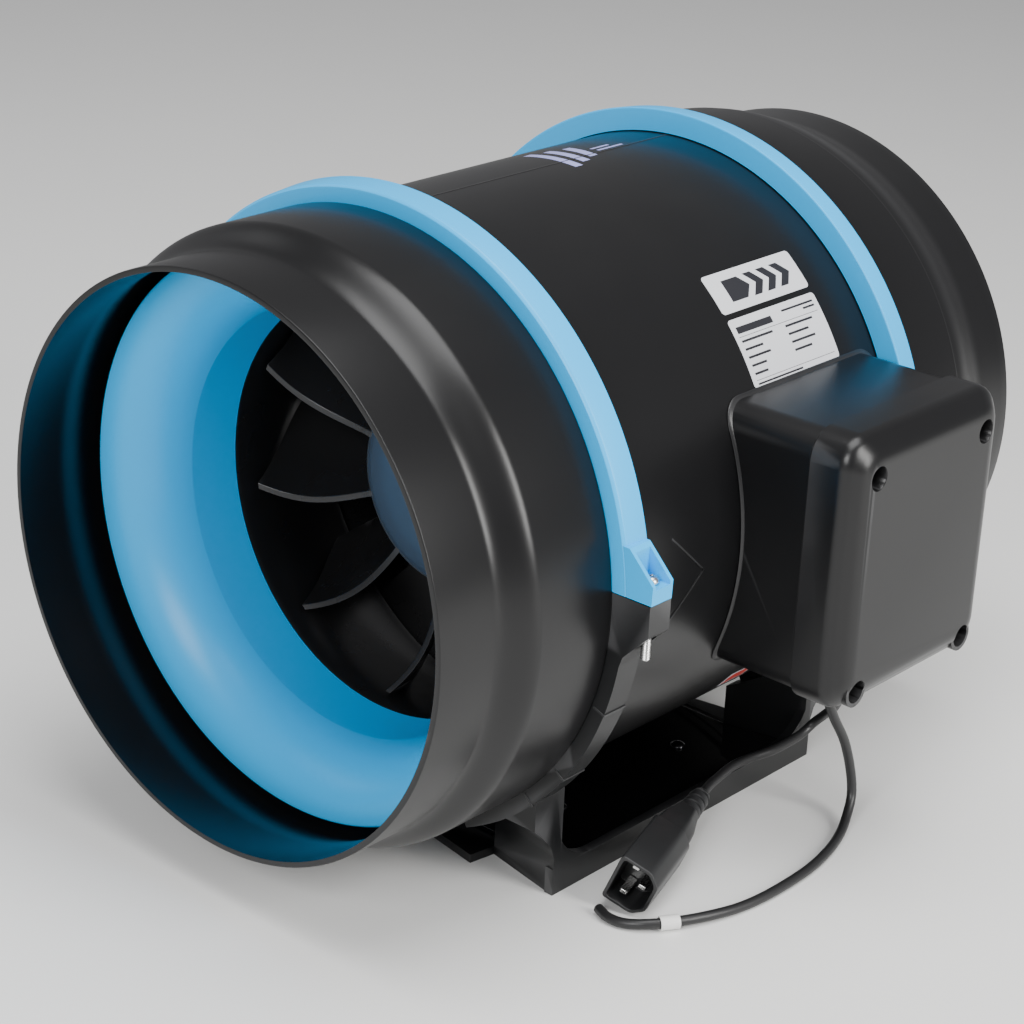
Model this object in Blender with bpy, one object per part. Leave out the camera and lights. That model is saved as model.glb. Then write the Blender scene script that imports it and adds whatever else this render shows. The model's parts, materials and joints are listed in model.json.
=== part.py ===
"""Inline mixed-flow duct fan for 250 mm ducting, clamped in a floor bracket.

Metres, +Z up. The origin is the centre of the bracket's underside. The fan's axis runs
along +Y, from the inlet spigot at -Y to the outlet spigot at +Y, and the terminal box is
on the +X side. Every turned piece is drawn around the local Y axis of its own object,
whose origin lies on the fan's axis, so the impeller's pieces turn about their origins.
"""
import math

import bmesh
import bpy
from mathutils import Matrix, Vector

# --- Driving dimensions -------------------------------------------------------------
AXIS_Z = 0.148              # height of the fan's axis over the surface it stands on
GAP = 0.0003                # clearance between pieces that touch
SEGMENTS = 40               # facets of the large turned pieces
MOTOR_SEGMENTS = 20         # facets of the motor's pieces
SMALL_SEGMENTS = 10         # facets of screws, glands and the plug's tail

RIM_Y = 0.1933              # each spigot's rim, either side of the middle
SPIGOT_RADIUS = 0.1240      # outside of the spigots, for a 250 mm duct
SPIGOT_WALL = 0.0026
BODY_RADIUS = 0.1300        # outside of the centre casing
CASING_WALL = 0.0035
FLANGE_RADIUS = 0.1314      # flanges under the clamp bands
SHOULDER_RADIUS = 0.1326    # widest part of the inlet and outlet casings

INLET_BAND_Y = -0.0988      # middle of the inlet clamp band
OUTLET_BAND_Y = 0.0939
BAND_WIDTH = 0.0128
BAND_INNER = 0.1318
BAND_OUTER = 0.1410
BAND_RIDGE = 0.1388         # radius of the band's bevelled outer-facing edge
ARM_INNER = 0.1322
ARM_OUTER = 0.1393
PARTING_Z = 0.0088          # parting plane of bands and arms over the fan's axis
EAR_X = 0.1512              # outer face of the clamp ears
BOLT_X = 0.1455

THROAT_RADIUS = 0.0933
BELL_LIP_RADIUS = 0.1218
BELL_LIP_Y = -0.1490
BELL_THROAT_Y = -0.1120
BELL_WALL = 0.0022

LINER_START_Y = -0.0957
LINER_END_Y = -0.0160
LINER_START_RADIUS = 0.0945
LINER_END_RADIUS = 0.1210
LINER_WALL = 0.0024

BLADE_COUNT = 10
BLADE_THICKNESS = 0.0017
BLADE_TIP_GAP = 0.0016
VANE_COUNT = 9
VANE_HUB_RADIUS = 0.0630
VANE_END_Y = 0.0600

BRACKET_HALF_WIDTH = 0.0990
BRACKET_FRONT_Y = -0.0916
BRACKET_MIDDLE_Y = -0.0005  # the bracket mirrors about this plane
CORNER_INNER_X = 0.0585     # inner edge of the four corner walls
CORNER_SLANT = 0.0079       # how far a corner wall's inner end stands back
SIDE_WALL_HEIGHT = 0.0125
SIDE_WALL = 0.0045
FLOOR_THICKNESS = 0.0040
TRAY_TOP = 0.0070

BOX_FRONT_Y = -0.0190
BOX_BACK_Y = 0.0850
BOX_LOW_Z = -0.0565         # under the fan's axis
BOX_HIGH_Z = 0.0605
BOX_JOINT_X = 0.1610
BOX_WALL = 0.0025
BOX_CORNER = 0.0110         # rounding of the box's upright corners
POST_RADIUS = 0.0052        # screw posts in the box's base
LID_STEP = 0.0020           # how far the cover stands out round the base
LID_SIDE_X = 0.1780
LID_FACE_X = 0.1850
LID_CHAMFER = 0.0080
COVER_SCREW_Y = (-0.0060, 0.0720)
COVER_SCREW_Z = (-0.0500, 0.0450)

MAINS_GLAND = (0.1340, 0.0530)      # plan places of the two glands under the box
CONTROL_GLAND = (0.1440, 0.0330)
GLAND_END_Z = -0.0700       # under the fan's axis

CORD_RADIUS = 0.0022
TAG_INNER = 0.0026          # the white sleeve on the control lead
TAG_OUTER = 0.0031
TAG_START = Vector((0.1525, -0.0730, 0.0034))
TAG_END = Vector((0.1480, -0.0803, 0.0034))
PLUG_MOUTH = Vector((0.1320, -0.0810, 0.0142))
PLUG_TAIL = Vector((0.1050, 0.0015, 0.0152))
PLUG_ROLL = math.radians(-21.5)


# --- Materials ----------------------------------------------------------------------
def principled(name, colour, roughness, metallic=0.0):
    """Make a Principled BSDF material."""
    material = bpy.data.materials.new(name)
    material.use_nodes = True
    shader = material.node_tree.nodes["Principled BSDF"]
    shader.inputs["Base Color"].default_value = (*colour, 1.0)
    shader.inputs["Roughness"].default_value = roughness
    shader.inputs["Metallic"].default_value = metallic
    material.diffuse_color = (*colour, 1.0)
    return material


def make_materials():
    """Return the materials by name."""
    table = {
        "black_casing": ((0.018, 0.018, 0.020), 0.42, 0.0),
        "black_bracket": ((0.016, 0.016, 0.017), 0.50, 0.0),
        "gloss_black": ((0.006, 0.006, 0.007), 0.08, 0.0),
        "sky_blue": ((0.060, 0.420, 0.800), 0.35, 0.0),
        "impeller_black": ((0.030, 0.030, 0.032), 0.45, 0.0),
        "hub_grey_blue": ((0.100, 0.140, 0.200), 0.35, 0.0),
        "rubber": ((0.012, 0.012, 0.012), 0.75, 0.0),
        "zinc_steel": ((0.620, 0.620, 0.600), 0.30, 1.0),
        "laminated_steel": ((0.300, 0.300, 0.310), 0.45, 1.0),
        "cast_aluminium": ((0.500, 0.510, 0.520), 0.45, 1.0),
        "copper": ((0.720, 0.330, 0.160), 0.35, 1.0),
        "white_plastic": ((0.780, 0.780, 0.760), 0.45, 0.0),
        "cord_black": ((0.020, 0.020, 0.021), 0.48, 0.0),
    }
    return {name: principled(name, *look) for name, look in table.items()}


# --- Modelling helpers --------------------------------------------------------------
def add_solid(name, bm, material, location=(0.0, 0.0, 0.0)):
    """Turn a bmesh into an object with outward faces and smooth round sides."""
    bmesh.ops.recalc_face_normals(bm, faces=bm.faces)
    mesh = bpy.data.meshes.new(name)
    bm.to_mesh(mesh)
    bm.free()
    mesh.shade_smooth()
    mesh.set_sharp_from_angle(angle=math.radians(32))
    if material is not None:
        mesh.materials.append(material)
    body = bpy.data.objects.new(name, mesh)
    body.location = location
    bpy.context.collection.objects.link(body)
    return body


def turned(name, profile, material, segments=SEGMENTS, axis="Y", location=(0.0, 0.0, AXIS_Z)):
    """Turn a closed profile of (radius, along) points round the given local axis."""
    bm = bmesh.new()
    rings = []
    for radius, along in profile:
        if radius < 1e-6:
            rings.append([bm.verts.new(place(0.0, along, 0.0, axis))])
            continue
        ring = []
        for step in range(segments):
            angle = 2.0 * math.pi * step / segments
            point = place(radius * math.cos(angle), along, radius * math.sin(angle), axis)
            ring.append(bm.verts.new(point))
        rings.append(ring)
    for index, ring in enumerate(rings):
        following = rings[(index + 1) % len(rings)]
        bridge(bm, ring, following)
    return add_solid(name, bm, material, location)


def place(across, along, up, axis):
    """Map a point drawn round the Y axis to one drawn round another axis."""
    if axis == "Y":
        return (across, along, up)
    if axis == "Z":
        return (across, up, along)
    return (along, across, up)


def bridge(bm, ring, following):
    """Join two rings, either of which may be a single point on the axis."""
    if len(ring) == 1 and len(following) == 1:
        return
    count = max(len(ring), len(following))
    for step in range(count):
        after = (step + 1) % count
        corners = [ring[step % len(ring)], ring[after % len(ring)],
                   following[after % len(following)], following[step % len(following)]]
        unique = list(dict.fromkeys(corners))
        bm.faces.new(unique)


def loft(name, sections, material, location=(0.0, 0.0, 0.0)):
    """Join matching outlines, given as lists of 3-D points, into a capped solid."""
    bm = bmesh.new()
    rings = [[bm.verts.new(point) for point in section] for section in sections]
    for ring, following in zip(rings, rings[1:]):
        bridge(bm, ring, following)
    for cap in (rings[0], rings[-1]):
        bm.faces.new(cap)
    return add_solid(name, bm, material, location)


def extruded(name, outline, axis, low, high, material, location=(0.0, 0.0, 0.0)):
    """Extrude a flat outline along X, Y or Z. The outline lies in the other two axes."""
    sections = []
    for along in (low, high):
        if axis == "X":
            sections.append([(along, a, b) for a, b in outline])
        elif axis == "Y":
            sections.append([(a, along, b) for a, b in outline])
        else:
            sections.append([(a, b, along) for a, b in outline])
    return loft(name, sections, material, location)


def block(name, low, high, material=None, location=(0.0, 0.0, 0.0)):
    """Make a box from its two opposite corners."""
    outline = [(low[0], low[1]), (high[0], low[1]), (high[0], high[1]), (low[0], high[1])]
    return extruded(name, outline, "Z", low[2], high[2], material, location)


def combine(body, tool, operation="DIFFERENCE"):
    """Apply a Boolean of the tool to the body, and remove the tool."""
    modifier = body.modifiers.new("combine", "BOOLEAN")
    modifier.operation = operation
    modifier.solver = "EXACT"
    modifier.object = tool
    bpy.context.view_layer.update()
    graph = bpy.context.evaluated_depsgraph_get()
    result = bpy.data.meshes.new_from_object(body.evaluated_get(graph))
    body.modifiers.clear()
    body.data = result
    result.name = body.name
    bpy.data.objects.remove(tool)
    return body


def joined(tools):
    """Join tools that don't touch each other into one, in world coordinates."""
    bpy.context.view_layer.update()
    bm = bmesh.new()
    for tool in tools:
        copy = tool.data.copy()
        copy.transform(tool.matrix_world)
        bm.from_mesh(copy)
        bpy.data.meshes.remove(copy)
        bpy.data.objects.remove(tool)
    return add_solid("joined_tools", bm, None)


def mirrored_copy(body, name, flip_x, flip_y):
    """Copy a body mirrored about X = 0, about the bracket's middle plane, or both."""
    bm = bmesh.new()
    bm.from_mesh(body.data)
    for vert in bm.verts:
        if flip_x:
            vert.co.x = -vert.co.x
        if flip_y:
            vert.co.y = 2.0 * BRACKET_MIDDLE_Y - vert.co.y
    return add_solid(name, bm, None, body.location)


def arc(radius, start, end, steps, centre=(0.0, 0.0)):
    """Return points on an arc, from one angle in degrees to another."""
    points = []
    for step in range(steps + 1):
        angle = math.radians(start + (end - start) * step / steps)
        points.append((centre[0] + radius * math.cos(angle), centre[1] + radius * math.sin(angle)))
    return points


def rounded_rectangle(low, high, radius, steps=3):
    """Return a rectangle's outline with rounded corners, in two dimensions."""
    corners = [((high[0] - radius, high[1] - radius), 0.0), ((low[0] + radius, high[1] - radius), 90.0),
               ((low[0] + radius, low[1] + radius), 180.0), ((high[0] - radius, low[1] + radius), 270.0)]
    outline = []
    for centre, start in corners:
        outline += arc(radius, start, start + 90.0, steps, centre)
    return outline


def smooth_step(value):
    """Ease from 0 to 1."""
    value = min(max(value, 0.0), 1.0)
    return value * value * (3.0 - 2.0 * value)


def rod(name, points, material):
    """Turn (radius, along) points into a solid of revolution standing on the Z axis."""
    return turned(name, points, material, SMALL_SEGMENTS, "Z", (0.0, 0.0, 0.0))


# --- Casings ------------------------------------------------------------------------
def shoulder_curve(start_y, end_y, start_radius, end_radius, steps):
    """Return (radius, y) points of the smooth shoulder between spigot and casing."""
    points = []
    for step in range(steps + 1):
        share = step / steps
        radius = start_radius + (end_radius - start_radius) * smooth_step(share)
        points.append((radius, start_y + (end_y - start_y) * share))
    return points


def make_inlet_casing(material):
    """Make the inlet end: a spigot, a smooth shoulder and a flange under the band."""
    inner = SPIGOT_RADIUS - SPIGOT_WALL
    flange_y = INLET_BAND_Y - 0.0021
    profile = [(inner, -RIM_Y), (SPIGOT_RADIUS - 0.0006, -RIM_Y), (SPIGOT_RADIUS, -RIM_Y + 0.0006)]
    profile += shoulder_curve(-0.1780, -0.1430, SPIGOT_RADIUS, SHOULDER_RADIUS, 6)
    profile += [(SHOULDER_RADIUS - 0.0006, -0.1058), (FLANGE_RADIUS, -0.1054), (FLANGE_RADIUS, flange_y)]
    profile += [(SHOULDER_RADIUS - 0.0033, flange_y)]
    profile += [(SHOULDER_RADIUS - 0.0033, -0.1430), (inner + 0.0032, -0.1620), (inner, -0.1720)]
    return turned("inlet_casing", profile, material)


def make_outlet_casing(material):
    """Make the outlet end: a flange, a straight part with a crisp edge, and a spigot."""
    inner = SPIGOT_RADIUS - SPIGOT_WALL
    flange_y = OUTLET_BAND_Y + 0.0006
    profile = [(SHOULDER_RADIUS - 0.0036, flange_y), (FLANGE_RADIUS, flange_y)]
    profile += [(FLANGE_RADIUS, 0.1005), (SHOULDER_RADIUS - 0.0006, 0.1009)]
    profile += [(SHOULDER_RADIUS, 0.1398)]
    profile += shoulder_curve(0.1408, 0.1720, SHOULDER_RADIUS - 0.0006, SPIGOT_RADIUS, 5)
    profile += [(SPIGOT_RADIUS, RIM_Y - 0.0006), (SPIGOT_RADIUS - 0.0006, RIM_Y), (inner, RIM_Y)]
    profile += [(inner, 0.1700), (SHOULDER_RADIUS - 0.0036, 0.1400)]
    return turned("outlet_casing", profile, material)


def make_centre_casing(material):
    """Make the centre casing: a plain tube with a low flange at each end."""
    inner = BODY_RADIUS - CASING_WALL
    front = INLET_BAND_Y + 0.0018
    back = OUTLET_BAND_Y - 0.0016
    profile = [(inner, front), (FLANGE_RADIUS, front), (FLANGE_RADIUS, front + 0.0034)]
    profile += [(BODY_RADIUS, front + 0.0036), (BODY_RADIUS, back - 0.0036)]
    profile += [(FLANGE_RADIUS, back - 0.0034), (FLANGE_RADIUS, back), (inner, back)]
    return turned("centre_casing", profile, material)


def make_bellmouth(material):
    """Make the inlet bellmouth: an elliptic roll, a straight throat and a rear flange."""
    roll = BELL_THROAT_Y - BELL_LIP_Y
    rise = BELL_LIP_RADIUS - THROAT_RADIUS
    front = []
    back = []
    for step in range(8):
        turn = math.radians(90.0 - 90.0 * step / 7)
        front.append((THROAT_RADIUS + rise * (1.0 - math.cos(turn)), BELL_THROAT_Y - roll * math.sin(turn)))
    for step in range(5):
        turn = math.radians(90.0 * step / 4)
        radius = THROAT_RADIUS + BELL_WALL + (rise - 0.0006) * (1.0 - math.cos(turn))
        back.append((radius, BELL_THROAT_Y - (roll - BELL_WALL) * math.sin(turn)))
    flange_y = INLET_BAND_Y - 0.0018
    outer = THROAT_RADIUS + BELL_WALL
    rear = [(THROAT_RADIUS, -0.0960), (outer, -0.0960), (outer, flange_y + 0.0015)]
    flange = FLANGE_RADIUS - 0.0005
    rear += [(flange, flange_y + 0.0015), (flange, flange_y), (outer, flange_y)]
    lip = [(BELL_LIP_RADIUS + 0.0016, BELL_LIP_Y + 0.0006)]
    return turned("inlet_bellmouth", front + rear + back + lip, material)


def make_seals(material):
    """Make the flat rubber rings between the casings."""
    inlet_y = INLET_BAND_Y
    outlet_y = OUTLET_BAND_Y - GAP
    for name, low, high in (("inlet_seal", inlet_y, inlet_y + 0.0015),
                            ("outlet_seal", outlet_y - 0.0010, outlet_y + 0.0006)):
        inner = BODY_RADIUS - CASING_WALL
        outer = FLANGE_RADIUS - 0.0006
        turned(name, [(inner, low), (outer, low), (outer, high), (inner, high)], material)


def make_liner(material):
    """Make the tapered liner that the blade tips run in, with its rear ring."""
    inner = []
    outer = []
    for step in range(5):
        along = LINER_START_Y + (LINER_END_Y - 0.0040 - LINER_START_Y) * step / 4
        inner.append((liner_radius(along), along))
        outer.append((liner_radius(along) + LINER_WALL, along))
    ring = BODY_RADIUS - CASING_WALL - GAP
    rear = [(liner_radius(LINER_END_Y), LINER_END_Y), (ring, LINER_END_Y), (ring, LINER_END_Y - 0.0040)]
    turned("wheel_liner", inner + rear + outer[::-1], material)


def liner_radius(along):
    """Return the liner's inner radius at a place along the axis."""
    share = (along - LINER_START_Y) / (LINER_END_Y - LINER_START_Y)
    return LINER_START_RADIUS + (LINER_END_RADIUS - LINER_START_RADIUS) * smooth_step(share)


# --- Impeller and motor -------------------------------------------------------------
def hub_radius(along):
    """Return the impeller hub's outer radius at a place along the axis."""
    share = (along + 0.0620) / 0.0440
    return 0.0450 + 0.0210 * math.sin(0.5 * math.pi * min(max(share, 0.0), 1.0))


def blade_point(across, along_share):
    """Return a point on a blade's middle surface: across is 0 at the hub, 1 at the tip."""
    lead_y = -0.0620 - 0.0215 * across ** 1.3
    trail_y = -0.0210 - 0.0060 * across
    along = lead_y + (trail_y - lead_y) * along_share
    root = hub_radius(along) - 0.0012
    tip = liner_radius(along) - BLADE_TIP_GAP
    radius = root + (tip - root) * across
    bow = 3.0 * math.sin(math.pi * across) * (1.0 - along_share)
    wrap = (24.0 - 9.0 * across) * along_share
    return radius, along, math.radians(200.3 - 7.3 * across + bow - wrap)


def add_blade(bm, turn):
    """Add one closed blade to the mesh, turned by an angle in radians."""
    across_steps = 3
    along_steps = 3
    sides = []
    for side in (-0.5, 0.5):
        grid = []
        for i in range(across_steps + 1):
            row = []
            for j in range(along_steps + 1):
                radius, along, angle = blade_point(i / across_steps, j / along_steps)
                angle += turn + side * BLADE_THICKNESS / radius
                row.append(bm.verts.new((radius * math.cos(angle), along, radius * math.sin(angle))))
            grid.append(row)
        sides.append(grid)
    for grid in sides:
        for i in range(across_steps):
            for j in range(along_steps):
                bm.faces.new((grid[i][j], grid[i + 1][j], grid[i + 1][j + 1], grid[i][j + 1]))
    near, far = sides
    edge = [(i, 0) for i in range(across_steps)] + [(across_steps, j) for j in range(along_steps)]
    edge += [(i, along_steps) for i in range(across_steps, 0, -1)]
    edge += [(0, j) for j in range(along_steps, 0, -1)]
    for (i, j), (k, m) in zip(edge, edge[1:] + edge[:1]):
        bm.faces.new((near[i][j], near[k][m], far[k][m], far[i][j]))


def make_impeller(material, cap_material):
    """Make the mixed-flow impeller: a hollow hub with swept blades, and its nose cap."""
    outer = [(hub_radius(-0.0620 + 0.0440 * step / 4), -0.0620 + 0.0440 * step / 4) for step in range(5)]
    inner = [(radius - 0.0025, max(along, -0.0590)) for radius, along in reversed(outer)]
    profile = [(0.0058, -0.0590), (0.0058, -0.0620)] + outer + inner
    hub = turned("impeller", profile, material)
    bm = bmesh.new()
    for index in range(BLADE_COUNT):
        add_blade(bm, 2.0 * math.pi * index / BLADE_COUNT)
    blades = add_solid("blades", bm, material, (0.0, 0.0, AXIS_Z))
    combine(hub, blades, "UNION")
    cap = [(0.0, -0.0690), (0.0180, -0.0682), (0.0320, -0.0664), (0.0410, -0.0640)]
    cap += [(0.0440, -0.0623), (0.0, -0.0623)]
    turned("hub_cap", cap, cap_material, MOTOR_SEGMENTS)


def make_motor(materials):
    """Make the external-rotor motor inside the impeller's hub."""
    steel = materials["laminated_steel"]
    cup = [(0.0053, -0.0586), (0.0400, -0.0586), (0.0424, -0.0560), (0.0424, -0.0160), (0.0398, -0.0160)]
    cup += [(0.0398, -0.0556), (0.0053, -0.0556)]
    turned("rotor_cup", cup, materials["zinc_steel"], MOTOR_SEGMENTS)
    ring = [(0.0328, -0.0470), (0.0395, -0.0470), (0.0395, -0.0220), (0.0328, -0.0220)]
    turned("rotor_ring", ring, steel, MOTOR_SEGMENTS)
    turned("motor_shaft", [(0.0, -0.0616), (0.0050, -0.0616), (0.0050, -0.0100), (0.0, -0.0100)],
           materials["zinc_steel"], MOTOR_SEGMENTS)
    flange = [(0.0092, -0.0525), (0.0112, -0.0525), (0.0112, -0.0180), (0.0380, -0.0150), (0.0380, -0.0123)]
    flange += [(0.0092, -0.0123)]
    turned("motor_flange", flange, materials["cast_aluminium"], MOTOR_SEGMENTS)
    make_stator_core(steel)
    winding = [(0.0190, 0.0), (0.0300, 0.0), (0.0310, 0.0016), (0.0290, 0.0036), (0.0200, 0.0036)]
    for name, face_y, outward in (("front_winding", -0.0473, -1.0), ("rear_winding", -0.0217, 1.0)):
        section = [(radius, face_y + outward * along) for radius, along in winding]
        turned(name, section, materials["copper"], MOTOR_SEGMENTS)
    for name, low in (("front_bearing", -0.0520), ("rear_bearing", -0.0185)):
        race = [(0.00509, low), (0.0089, low), (0.0089, low + 0.0050), (0.00509, low + 0.0050)]
        turned(name, race, materials["zinc_steel"], MOTOR_SEGMENTS)


def make_stator_core(material):
    """Make the laminated stator core with its twelve wound teeth."""
    outline = []
    for tooth in range(12):
        middle = 30.0 * tooth
        outline += arc(0.0320, middle - 11.0, middle + 11.0, 1)
        outline += arc(0.0295, middle + 11.0, middle + 6.0, 1)
        outline += arc(0.0200, middle + 8.0, middle + 22.0, 1)
        outline += arc(0.0295, middle + 24.0, middle + 19.0, 1)
    core = extruded("stator_core", outline, "Y", -0.0470, -0.0220, material, (0.0, 0.0, AXIS_Z))
    bore = [(0.0, -0.0500), (0.0115, -0.0500), (0.0115, -0.0190), (0.0, -0.0190)]
    combine(core, turned("bore", bore, None, MOTOR_SEGMENTS))


def make_guide_vanes(material):
    """Make the fixed vane housing behind the impeller: ring, vanes and motor hub."""
    ring = BODY_RADIUS - CASING_WALL - GAP
    start = LINER_END_Y + GAP
    outer = [(ring - 0.0025, start), (ring, start), (ring, VANE_END_Y), (ring - 0.0025, VANE_END_Y)]
    housing = turned("guide_vane_housing", outer, material)
    hub = [(0.0070, -0.0120), (VANE_HUB_RADIUS, -0.0120), (VANE_HUB_RADIUS, VANE_END_Y)]
    hub += [(VANE_HUB_RADIUS - 0.0025, VANE_END_Y), (VANE_HUB_RADIUS - 0.0025, -0.0090), (0.0070, -0.0090)]
    combine(housing, make_vane_tool(ring - 0.0012), "UNION")
    combine(housing, turned("vane_hub", hub, material), "UNION")
    tail = [(0.0, 0.1000), (0.0180, 0.0985), (0.0360, 0.0920), (0.0500, 0.0800), (0.0590, 0.0670)]
    tail += [(0.0628, VANE_END_Y + GAP), (0.0590, VANE_END_Y + GAP), (0.0470, 0.0790), (0.0, 0.0960)]
    turned("tail_cone", tail, material, 32)


def make_vane_tool(tip_radius):
    """Make the straightening vanes, curved at their front and straight behind."""
    bm = bmesh.new()
    half = 0.0010
    steps = 3
    for index in range(VANE_COUNT):
        turn = 2.0 * math.pi * index / VANE_COUNT
        columns = []
        for step in range(steps + 1):
            share = step / steps
            along = 0.0020 + 0.0540 * share
            lean = math.radians(26.0) * (1.0 - share) ** 2
            corners = []
            for radius in (VANE_HUB_RADIUS - 0.0012, tip_radius):
                for side in (-half, half):
                    angle = turn + lean + side / radius
                    corner = (radius * math.cos(angle), along, radius * math.sin(angle))
                    corners.append(bm.verts.new(corner))
            columns.append([corners[0], corners[1], corners[3], corners[2]])
        for column, following in zip(columns, columns[1:]):
            bridge(bm, column, following)
        bm.faces.new(columns[0])
        bm.faces.new(columns[-1])
    return add_solid("vanes", bm, None, (0.0, 0.0, AXIS_Z))


# --- Clamp bands and bracket --------------------------------------------------------
def make_clamp_band(name, middle_y, outward, material):
    """Make one upper clamp band with its two bolt ears. outward is -1 at the inlet."""
    half = BAND_WIDTH / 2.0
    section = [(BAND_INNER, half), (BAND_RIDGE - 0.0002, half), (BAND_RIDGE + 0.0009, half - 0.0011)]
    section += [(BAND_OUTER, 0.0004 - half), (BAND_OUTER - 0.0004, -half)]
    lip = BODY_RADIUS + 0.0005
    section += [(lip, -half), (lip, 0.0006 - half), (BAND_INNER, 0.0006 - half)]
    band = turned(name, [(radius, middle_y + outward * along) for radius, along in section], material)
    for side in (-1.0, 1.0):
        combine(band, make_band_ear(middle_y, side, material), "UNION")
    floor = block("below", (-0.2, middle_y - 0.02, -0.2), (0.2, middle_y + 0.02, PARTING_Z + GAP / 2.0),
                  location=(0.0, 0.0, AXIS_Z))
    combine(band, floor)
    return combine(band, joined([make_bolt_hole(middle_y, side) for side in (-1.0, 1.0)]))


def make_band_ear(middle_y, side, material):
    """Make a band's bolt ear: a block with a pocket between two sloping webs."""
    half = BAND_WIDTH / 2.0 - 0.0002
    outline = [(0.1360, 0.0), (EAR_X, 0.0), (EAR_X + 0.0006, 0.0170), (0.1392, 0.0295), (0.1340, 0.0295)]
    outline = [(side * x, z) for x, z in outline]
    origin = (0.0, 0.0, AXIS_Z)
    ear = extruded("ear", outline, "Y", middle_y - half, middle_y + half, material, origin)
    near, far = sorted((side * 0.1409, side * 0.1600))
    pocket = block("pocket", (near, middle_y - half + 0.0018, PARTING_Z + 0.0052),
                   (far, middle_y + half - 0.0018, 0.0400), location=origin)
    return combine(ear, pocket)


def make_bolt_hole(middle_y, side):
    """Make the tool that drills a clamp ear from end to end."""
    hole = rod("hole", [(0.0, -0.0300), (0.0023, -0.0300), (0.0023, 0.0400), (0.0, 0.0400)], None)
    hole.location = (side * BOLT_X, middle_y, AXIS_Z)
    return hole


def make_clamp_fasteners(materials):
    """Make the four clamp bolts and the nuts in the pockets under the lower ears."""
    head_z = PARTING_Z + 0.0052 + GAP
    for row, middle_y in (("inlet", INLET_BAND_Y), ("outlet", OUTLET_BAND_Y)):
        for column, side in (("near", 1.0), ("far", -1.0)):
            profile = [(0.0, -0.0178), (0.0015, -0.0178), (0.0020, -0.0172), (0.0020, head_z)]
            profile += [(0.0036, head_z), (0.0036, head_z + 0.0016)]
            profile += [(0.0022, head_z + 0.0028), (0.0, head_z + 0.0028)]
            bolt = rod(f"{row}_clamp_bolt_{column}", profile, materials["zinc_steel"])
            bolt.location = (side * BOLT_X, middle_y, AXIS_Z)
            ring = [(0.0023, -0.0042), (0.0038, -0.0042), (0.0038, -0.0012), (0.0023, -0.0012)]
            nut = turned(f"{row}_clamp_nut_{column}", ring, materials["zinc_steel"], 6, "Z", bolt.location)
            nut.data.set_sharp_from_angle(angle=math.radians(20))


def make_arm(middle_y):
    """Make the +X lower half of a clamp: an ear and an arm that follows the casing."""
    half = BAND_WIDTH / 2.0
    top = PARTING_Z - GAP / 2.0
    start = math.degrees(math.asin(top / ARM_INNER))
    outline = [(EAR_X, top), (EAR_X, -0.0045), (0.1392, -0.0170)]
    outline += arc(ARM_OUTER, -9.0, -64.0, 7)
    outline += arc(ARM_INNER, -64.0, start, 8)
    arm = extruded("arm", outline, "Y", middle_y - half, middle_y + half, None, (0.0, 0.0, AXIS_Z))
    combine(arm, make_bolt_hole(middle_y, 1.0))
    pocket_profile = [(0.0, -0.0100), (0.0043, -0.0100), (0.0043, -0.0009), (0.0, -0.0009)]
    pocket = turned("nut_pocket", pocket_profile, None, 6, "Z", (BOLT_X, middle_y, AXIS_Z))
    return combine(arm, pocket)


def make_corner():
    """Make the corner wall under the inlet arm on the +X side, in world coordinates."""
    low = -AXIS_Z
    outline = [(CORNER_INNER_X, low), (BRACKET_HALF_WIDTH, low), (BRACKET_HALF_WIDTH, -0.0935)]
    outline += arc(0.1357, -43.5, -64.5, 3)[1:]
    front = INLET_BAND_Y - BAND_WIDTH / 2.0 + 0.0002
    wall = extruded("corner", outline, "Y", front, -0.0780, None, (0.0, 0.0, AXIS_Z))
    cove = [(-0.1300, low - 0.01), (BRACKET_FRONT_Y, low - 0.01), (BRACKET_FRONT_Y, -0.1300)]
    cove += [(BRACKET_FRONT_Y - 0.0022, -0.1240), (BRACKET_FRONT_Y - 0.0075, -0.1175), (front, -0.1120)]
    cove += [(-0.1300, -0.1120)]
    combine(wall, slanted_tool("cove", cove, 5))
    rear_y = BRACKET_FRONT_Y + SIDE_WALL
    rear = [(-0.0500, low - 0.01), (-0.0500, 0.0), (rear_y, 0.0), (rear_y, low - 0.01)]
    combine(wall, slanted_tool("rear", rear, 4, first=2))
    return wall


def slanted_tool(name, outline, moved, first=1):
    """Loft a Y-Z outline from the side wall inwards, moving some points back by the slant."""
    sections = []
    reach = BRACKET_HALF_WIDTH - CORNER_INNER_X
    for x in (CORNER_INNER_X - 0.0010, BRACKET_HALF_WIDTH + 0.0010):
        shift = CORNER_SLANT * (BRACKET_HALF_WIDTH - x) / reach
        section = []
        for index, (y, z) in enumerate(outline):
            slides = first <= index < moved
            section.append((x, y + shift if slides else y, z))
        sections.append(section)
    return loft(name, sections, None, (0.0, 0.0, AXIS_Z))


def make_gusset():
    """Make the rounded rise of the side wall into the inlet corner on the +X side."""
    start = BRACKET_FRONT_Y + 0.0010
    outline = [(start, 0.0010), (-0.0600, 0.0010), (-0.0600, SIDE_WALL_HEIGHT - 0.0010)]
    outline += arc(0.0250, 270.0, 185.0, 5, (-0.0655, SIDE_WALL_HEIGHT + 0.0250))
    outline += [(start, SIDE_WALL_HEIGHT + 0.0300)]
    return extruded("gusset", outline, "X", BRACKET_HALF_WIDTH - SIDE_WALL, BRACKET_HALF_WIDTH, None)


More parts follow.
